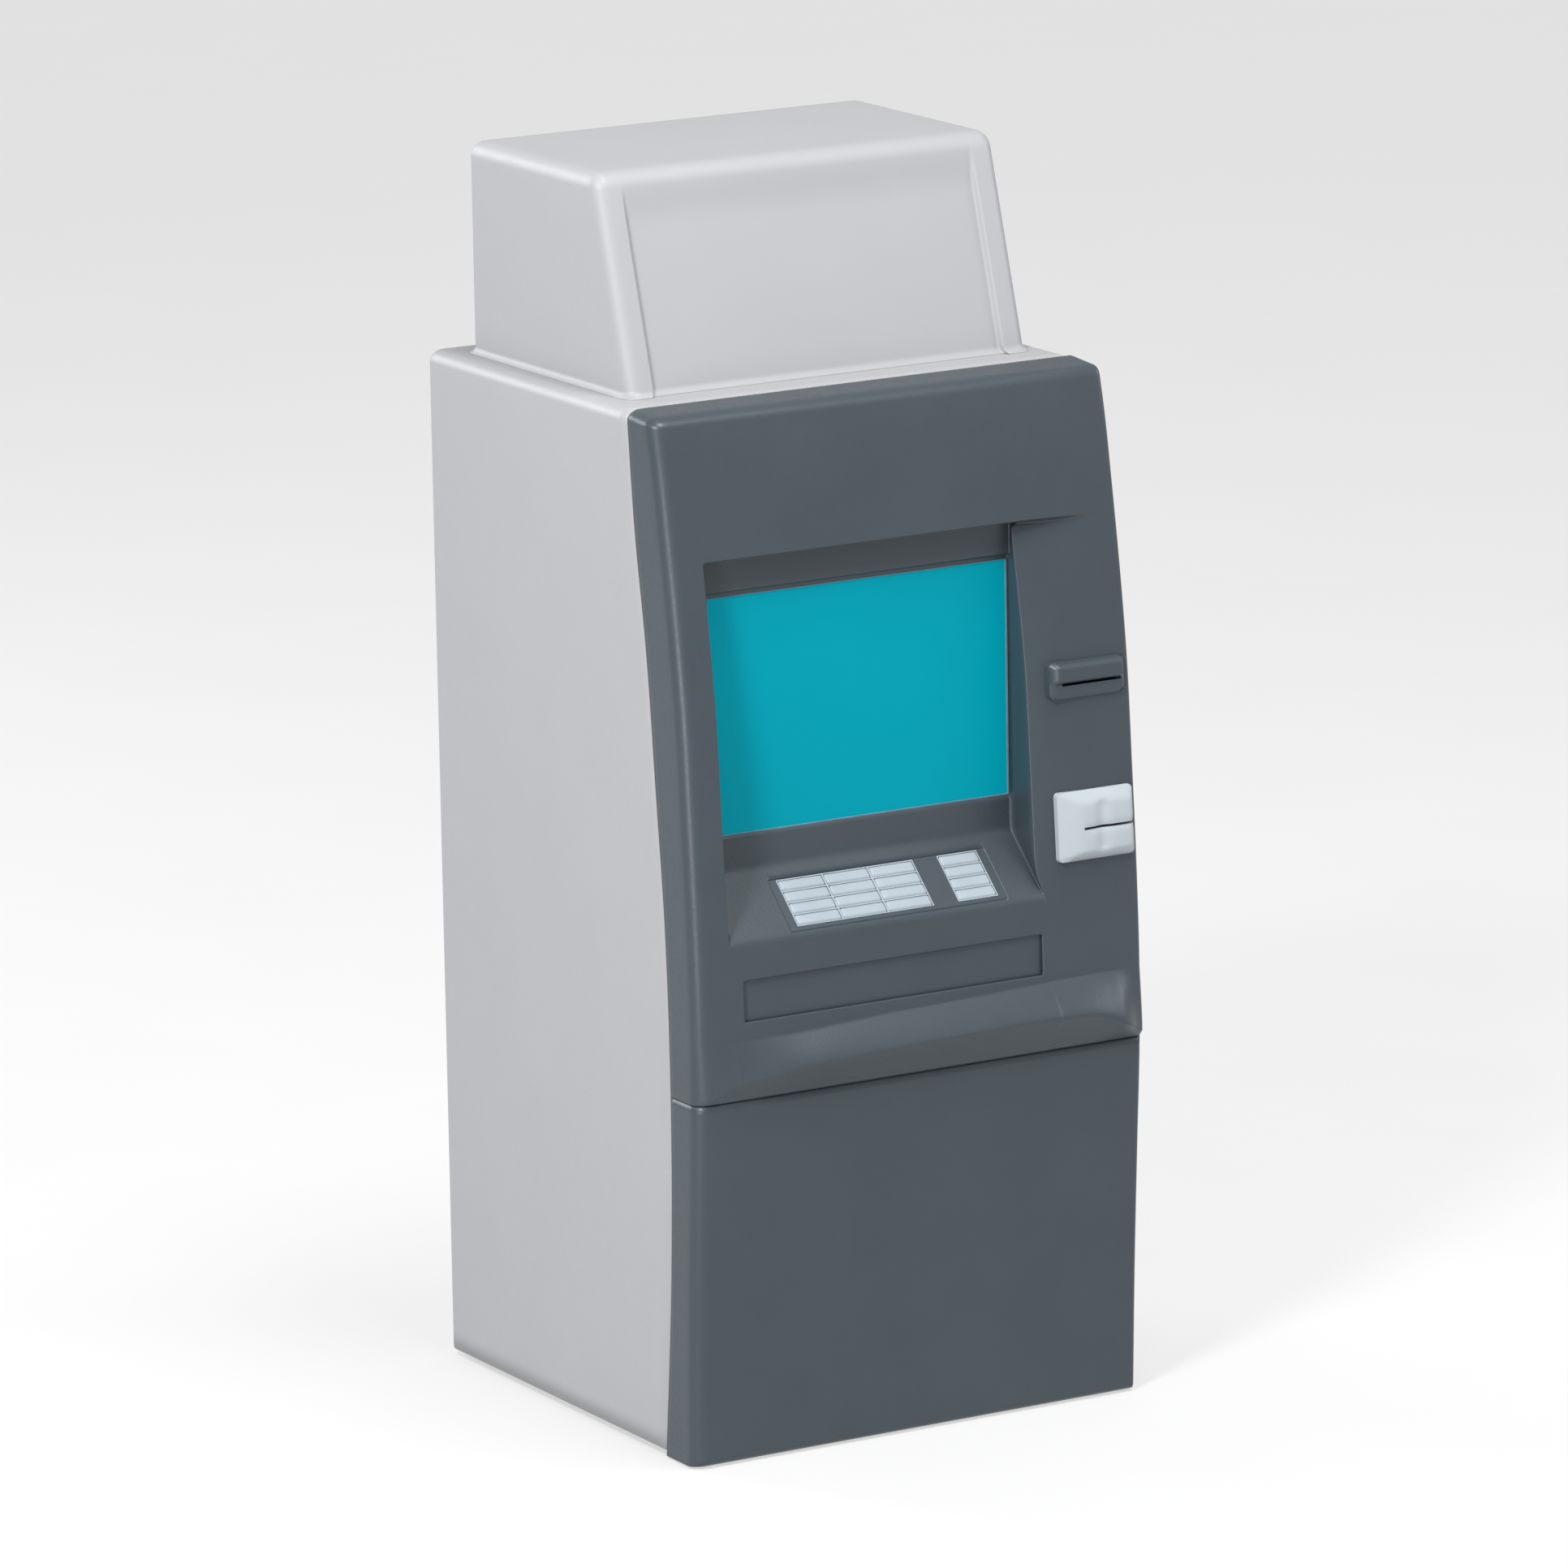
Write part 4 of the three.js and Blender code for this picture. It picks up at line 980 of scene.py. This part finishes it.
# ---- side hinge and rear door fittings ----
def side_hinge_screws():
    heads = {"cabinet": Pile(), "fascia": Pile()}
    slots = {"cabinet": Pile(), "fascia": Pile()}
    for z in (500, 580, 655, 735):
        for body, depth in (("cabinet", 80), ("fascia", 22)):
            heads[body].disc(308.2, depth, z, "x", 4.2, 1.5, 0.7)
            # Thin near-black boxes on each head: painted shade standing in for the cross slots.
            slots[body].box(309.3, 309.85, depth - 2.6, depth + 2.6, z - 0.5, z + 0.5, 0.0)
            slots[body].box(309.3, 309.85, depth - 0.5, depth + 0.5, z - 2.6, z + 2.6, 0.0)
    for body, pile in heads.items():
        pile.put(f"hinge_screws_{body}", body, "brushed_steel", look="zinc_screw")
        slots[body].put(f"hinge_slot_shade_{body}", body, "brushed_steel", look="dark_gap")


def rear_door_fittings():
    face = cad("rear_door")[1][1] - FRONT_PLANE
    louvres, dark = Pile(face), Pile(face)
    for x0, x1, z0, count in ((-236, 30, 1024, 8), (-236, 236, 574, 6)):
        for i in range(count):
            z = z0 + 17 * i
            louvres.box(x0, x1, -1.5, 4.0, z + 3, z + 11, 2.6, 3)
            # A near-black strip under each louvre: painted shade standing in for the opening behind it.
            dark.box(x0 + 4, x1 - 4, -1, 0.25, z - 1.2, z + 3.6, 0.0)
    louvres.put("door_louvres", "rear_door", "casing_grey")
    dark.put("door_louvre_shade", "rear_door", "black_plastic", look="dark_gap")
    guard = Pile(face)
    fan_x, fan_z = 120, 1080
    for radius in (12, 24, 36, 48):
        guard.ring(fan_x, -0.3, fan_z, "y", radius, 1.1)
    for angle in (0, 45, 90, 135):
        guard.box(-58, 58, -1.6, -0.2, -1.1, 1.1, 0.4, 1, about(fan_x, fan_z, math.radians(angle)))
    guard.ring(fan_x, 0.4, fan_z, "y", 57, 1.6)
    guard.put("fan_guard", "rear_door", "black_plastic")
    Pile(face).disc(255, -1, 860, "y", 15, 3.2, 1.2).put("lock_escutcheon", "rear_door", "brushed_steel")
    plate = Pile(face).box(-210, -110, -0.3, 0.6, 880, 940, 0.4, 1)
    plate.put("rating_plate", "rear_door", "brushed_steel")
    # A near-black box on the lock: painted shade standing in for the keyway.
    key_slot = Pile(face).box(253.9, 256.1, 3.6, 4.2, 855, 865, 0.0)
    key_slot.put("rear_key_slot_shade", "rear_lock", "brushed_steel", look="dark_gap")
    fold = Pile(face)
    for x0, x1, z0, z1 in ((-276, 276, 519, 521.5), (-276, 276, 1211.5, 1214), (-276, -273.5, 519, 1214),
                           (273.5, 276, 519, 1214)):
        fold.box(x0, x1, -1, 0.8, z0, z1, 0.7)
    fold.put("door_fold_line", "rear_door", "casing_grey")
    knuckles = {"rear_door": Pile(), "cabinet": Pile()}
    for z in (590, 866, 1140):
        knuckles["rear_door"].disc(-282, 601, z - 11, "z", 4.4, 22, 0.6)
        knuckles["cabinet"].disc(-282, 601, z - 34, "z", 4.4, 22.5, 0.6)
        knuckles["cabinet"].disc(-282, 601, z + 11.5, "z", 4.4, 22.5, 0.6)
    for body, pile in knuckles.items():
        pile.put(f"rear_hinge_{body}", body, "brushed_steel")


def safe_fittings():
    face = cad("safe_door")[1][1] - FRONT_PLANE
    border = Pile(face)
    for x0, x1, z0, z1 in ((-250, 250, 62, 88), (-250, 250, 462, 488), (-250, -224, 88, 462),
                           (224, 250, 88, 462)):
        border.box(x0, x1, -1, 2.5, z0, z1, 1.6, 3)
    border.put("safe_door_border", "safe_door", "safe_paint")
    barrels = {"safe_door": Pile(), "cabinet": Pile()}
    for z in (130, 420):
        barrels["safe_door"].disc(-266, 572, z, "z", 7.5, 38, 1.2)
        barrels["cabinet"].disc(-266, 572, z - 38.6, "z", 7.5, 38, 1.2)
    for body, pile in barrels.items():
        pile.put(f"safe_hinge_{body}", body, "brushed_steel")
    dial_x, dial_z = 60, 340
    index = Pile(face).ring(dial_x, 1.0, dial_z, "y", 34, 1.8)
    index.box(dial_x - 1, dial_x + 1, -0.5, 2.6, 373, 380, 0.4)
    index.put("dial_index", "safe_door", "brushed_steel")
    dial = Pile(face).disc(dial_x, 0.4, dial_z, "y", 30, 6.6, 1.4, 48)
    dial.disc(dial_x, 6, dial_z, "y", 18.4, 18, 2.2, 40)
    for i in range(30):
        dial.box(17.6, 19.6, 8, 22.5, -1.1, 1.1, 0.5, 1, about(dial_x, dial_z, 2 * math.pi * i / 30))
    dial.put("dial_knob", "lock_dial", "black_plastic", ["lock_dial"])
    marks = Pile(face)
    for i in range(50):
        marks.box(25.5 if i % 5 else 22.5, 28.2, 6.6, 7.15, -0.35, 0.35, 0.0, 1,
                  about(dial_x, dial_z, 2 * math.pi * i / 50))
    marks.put("dial_marks", "lock_dial", "paper")
    handle = Pile(face).disc(150, 0.4, 300, "y", 15, 11.6, 2.0, 36)
    handle.disc(150, 11, 300, "y", 9, 9, 1.0)
    handle.box(140, 160, 18, 29, 190, 312, 5.0, 4)
    handle.put("safe_lever", "safe_handle", "brushed_steel", ["safe_handle"])
    keyhole = Pile(face).disc(-60, -0.5, 340, "y", 12, 3.0, 1.0)
    keyhole.box(-61, -59, 2.4, 2.9, 334, 346, 0.0)
    keyhole.put("safe_key_plate", "safe_door", "brushed_steel")


# ---- inside: dispenser, computer, power supply, modules ----
def cassette_fittings():
    for name in [f"cash_cassette_{i}" for i in range(1, 5)] + ["reject_bin"]:
        low, high = cad(name)
        rear, base = high[1] - FRONT_PLANE, low[2]
        body = name if name.startswith("cash") else "cabinet"
        grip = Pile(rear).box(-46, 46, 3.5, 8, base + 46, base + 56, 2.0, 3)
        grip.box(-46, -38, -1, 7, base + 46, base + 56, 1.5)
        grip.box(38, 46, -1, 7, base + 46, base + 56, 1.5)
        grip.box(-92, 92, -0.5, 1.6, base + 6, base + 9, 0.6)
        grip.put(f"{name}_grip", body, "black_plastic")
        label = Pile(rear).box(-88, -56, -0.3, 0.5, base + 20, base + 66, 0.3, 1)
        label.box(58, 88, -0.3, 0.8, base + 26, base + 34, 0.3, 1)
        label.put(f"{name}_label", body, "paper")


def dispenser_fittings():
    gears, belts = Pile(), Pile()
    for x in (-120.5, 114.2):
        for i in range(4):
            z = 104 + 86 * i
            gears.disc(x, 150, z, "x", 16, 6.0, 0.8, 32)
            gears.disc(x, 186, z + 24, "x", 9, 6.0, 0.8, 24)
        for i in range(3):
            z = 104 + 86 * i
            belts.box(x + 1, x + 5, 133.5, 136, z, z + 86, 0.5)
            belts.box(x + 1, x + 5, 164, 166.5, z, z + 86, 0.5)
    gears.put("dispenser_gears", "cabinet", "white_plastic")
    belts.put("dispenser_belts", "cabinet", "roller_rubber")


def computer_fittings():
    board = Pile().box(-246.5, -244.5, 302, 548, 522, 846, 0.4, 1)
    board.box(-200, -186, 460, 550, 560, 700, 0.4, 1)
    board.put("computer_boards", "cabinet", "chassis_black", look="board_green")
    metal = Pile()
    for i in range(12):
        metal.box(-244, -206, 420 + 6 * i, 422 + 6 * i, 730, 800, 0.3, 1)
    metal.box(-244, -238, 416, 492, 726, 804, 0.5, 1)
    for z in (530, 566, 602):
        metal.box(-150, -66, 420, 556, z, z + 26, 1.2, 2)
    metal.box(-152, -64, 440, 557, 764, 858, 1.2, 2)
    metal.put("computer_modules", "cabinet", "galvanised_steel")
    fan_x, fan_z = -108, 811
    dark = Pile().disc(fan_x, 556.5, fan_z, "y", 36, 2.0, 0.5, 40)
    for i in range(4):
        dark.box(-240, -228, 508, 546, 560 + 26 * i, 578 + 26 * i, 1.0)
    for i in range(5):
        dark.box(-244, -216, 320, 400, 560 + 11 * i, 564 + 11 * i, 0.5)
    dark.put("computer_ports", "cabinet", "black_plastic")
    grille = Pile()
    for radius in (10, 19, 28, 36):
        grille.ring(fan_x, 559.2, fan_z, "y", radius, 0.9)
    for z in (536, 572, 608):
        grille.box(-142, -74, 555.8, 557.2, z, z + 3, 0.4, 1)
    grille.put("computer_grille", "cabinet", "brushed_steel")


def supply_fittings():
    board = Pile().box(-16, 126, 336, 532, 517.5, 519.5, 0.4, 1)
    board.put("supply_board", "cabinet", "chassis_black", look="board_green")
    parts = Pile()
    for x, depth, radius, tall in ((10, 500, 13, 42), (42, 505, 13, 42), (14, 460, 9, 30),
                                   (104, 508, 9, 26)):
        parts.disc(x, depth, 519.5, "z", radius, tall, 1.0)
    parts.box(66, 92, 470, 526, 519.5, 556, 1.5)
    parts.put("supply_parts", "cabinet", "black_plastic")
    copper = Pile()
    for i in range(9):
        copper.ring(79, 478 + 5 * i, 575, "y", 14, 2.6, 28)
    copper.put("supply_coil", "cabinet", "black_plastic", look="copper_wire")
    fan = Pile().disc(-0.5, 537.5, 596, "y", 14, 2.0, 0.5)
    for i in range(5):
        fan.box(30 + 18 * i, 42 + 18 * i, 536, 541, 606, 624, 1.0)
    fan.put("supply_sockets", "cabinet", "black_plastic")


def module_fittings():
    rims = Pile()
    printer_top = 912        # of its body, below the two ears that hold the paper roll
    for node, top in (("card_reader", cad("card_reader")[1][2]), ("receipt_printer", printer_top)):
        low, high = cad(node)
        front, rear = low[1] - FRONT_PLANE, high[1] - FRONT_PLANE
        for depth in (front + 24, rear - 30):
            rims.box(low[0] + 6, high[0] - 6, depth, depth + 6, top - 0.5, top + 2.5, 0.8)
    rims.put("module_ribs", "cabinet", "black_plastic")
    lever = Pile().box(214, 226, 60, 86, 911, 922, 2.0, 3).box(240, 270, 60, 120, 721, 728, 2.0, 3)
    lever.put("module_levers", "cabinet", "safe_paint", look="copper_wire")
    gears = Pile()
    for depth, z, radius in ((26, 562, 17), (58, 548, 13), (84, 562, 17), (116, 550, 14)):
        gears.disc(160.3, depth, z, "x", radius, 5.0, 0.8, 36)
        gears.disc(160.3, depth, z, "x", 4, 8.0, 0.6, 20)
    gears.put("presenter_gears", "cabinet", "white_plastic")
    plate = Pile().box(-226, 156, 6, 150, 611.6, 613.2, 0.4, 1)
    for x in (-180, -60, 60, 140):
        plate.box(x, x + 8, 10, 146, 613, 617, 1.0)
    plate.put("presenter_cover", "cabinet", "galvanised_steel")
    screws = Pile()
    for x in (-215, 145):
        for depth in (20, 136):
            screws.disc(x, depth, 613, "z", 4, 2.4, 0.9)
    for depth in (60, 120, 200, 270):
        for z in (560, 760, 960):
            screws.disc(184.4, depth, z, "x", 3.6, 1.8, 0.6)
    screws.put("module_screws", "cabinet", "brushed_steel", look="zinc_screw")


def wiring():
    """Looms clipped to the cabinet: mains to the supply, supply to computer, computer to the modules."""
    mains = Pile().tube([(220, 577, 24), (220, 560, 24), (276, 560, 24), (288, 560, 60), (288, 560, 480),
                         (284, 556, 520), (240, 500, 520), (131, 480, 540)], 4.2)
    mains.tube([(-20, 420, 560), (-40, 420, 560), (-59, 420, 560)], 3.4)
    mains.tube([(-100, 289, 700), (-100, 262, 700), (20, 250, 640), (170, 250, 560), (180, 250, 620),
                (180, 240, 700), (186, 220, 706)], 3.6)
    mains.tube([(180, 246, 640), (176, 250, 800), (180, 240, 880), (186, 226, 884)], 3.2)
    mains.put("wiring_looms", "cabinet", "roller_rubber", angle=60)
    clips = Pile()
    for z in (120, 260, 400):
        clips.box(281, 296, 554, 566, z, z + 10, 1.5)
    for z in (640, 720, 800):
        clips.box(172, 186.5, 242, 258, z, z + 8, 1.5)
    clips.put("wiring_clips", "cabinet", "white_plastic")


def fascia_inside():
    low, high = cad("monitor")
    rear = high[1] - FRONT_PLANE
    back = Pile(rear).box(low[0] + 60, high[0] - 60, -2, 3.0, 790, 960, 2.5, 3)
    for i in range(14):
        back.box(low[0] + 24, low[0] + 40, -1, 1.2, 800 + 12 * i, 805 + 12 * i, 0.8)
        back.box(high[0] - 40, high[0] - 24, -1, 1.2, 800 + 12 * i, 805 + 12 * i, 0.8)
    back.put("monitor_back", "fascia", "black_plastic")
    steel = Pile(rear)
    for x in (-81, 19):
        for z in (825, 925):
            steel.disc(x, 2.5, z, "y", 4.5, 2.2, 0.8)
    for x in (-200, 138):
        steel.box(x - 9, x + 9, -0.6, 2.0, 734, 766, 0.8)
        steel.box(x - 9, x + 9, -0.6, 2.0, 1000, 1032, 0.8)
    steel.put("monitor_mounts", "fascia", "galvanised_steel")


# ---- stage ----
def stage():
    bpy.ops.mesh.primitive_plane_add(size=60, location=(0, 0, 0))
    floor = bpy.context.object
    floor.name = "floor"
    n = Nodes("floor")
    n.link(n.mix(n.noise(3.0, 3.0), (0.24, 0.24, 0.24, 1), (0.26, 0.26, 0.26, 1)), "Base Color")
    n.set(Roughness=0.9, Specular_IOR_Level=0.1, Emission_Color=(1, 1, 1, 1), Emission_Strength=0.6)
    floor.data.materials.append(n.material)
    world = bpy.data.worlds.new("studio")
    bpy.context.scene.world = world
    world.use_nodes = True
    world.node_tree.nodes["Background"].inputs["Color"].default_value = (1.0, 1.0, 1.0, 1)
    world.node_tree.nodes["Background"].inputs["Strength"].default_value = 0.52
    bpy.context.scene.view_settings.view_transform = "Standard"
    area_light("key", (-3.7, -2.6, 4.6), 1.1, 265)
    area_light("right_fill", (4.4, -2.0, 3.0), 2.2, 60)
    area_light("rear_fill", (-2.2, 5.2, 2.8), 2.6, 130)
    area_light("top", (0.3, -1.4, 5.2), 1.6, 130)
    area_light("low_left", (-3.3, -2.5, 0.75), 0.8, 42)


def area_light(name, location, size, power):
    data = bpy.data.lights.new(name, "AREA")
    data.shape = "DISK"
    data.size = size
    data.energy = power
    light = add_object(name, data)
    light.location = location
    aim = Vector((0, 0, 0.75)) - Vector(location)
    light.rotation_euler = aim.to_track_quat("-Z", "Y").to_euler()


def camera():
    """The camera of the reference view: low and to the left of the front, far away on a long lens."""
    azimuth, elevation, roll = math.radians(30.316), math.radians(12.833), -0.0165
    target = Vector((-0.0208, -0.0465, 0.7404))
    away = Vector((-math.sin(azimuth) * math.cos(elevation), -math.cos(azimuth) * math.cos(elevation),
                   math.sin(elevation)))
    right = (-away).cross(Vector((0, 0, 1))).normalized()
    up = right.cross(-away)
    right, up = (right * math.cos(roll) + up * math.sin(roll), -right * math.sin(roll) + up * math.cos(roll))
    data = bpy.data.cameras.new("camera")
    data.lens = 230.06
    data.sensor_width = 36
    data.clip_end = 100
    eye = add_object("camera", data)
    turn = Matrix((right, up, away)).transposed().to_4x4()
    eye.matrix_world = Matrix.Translation(target + away * 11.904) @ turn
    bpy.context.scene.camera = eye


def dress_cad_nodes():
    """Every CAD node gets its slot's material, for those that stay in view."""
    slots = {row["node"]: row["material_slot"] for row in frame["record"]["subparts"]}
    for name, obj in frame["nodes"].items():
        obj.data.materials.clear()
        obj.data.materials.append(LOOKS[slots[name]])


for build in (camera, stage, dress_cad_nodes, fascia, lower_panel, casing, topper, screen_edge,
              keypad, card_bezel, receipt_bezel, side_hinge_screws, rear_door_fittings, safe_fittings,
              cassette_fittings, dispenser_fittings, computer_fittings, supply_fittings,
              module_fittings, wiring, fascia_inside):
    build()

bpy.context.view_layer.update()
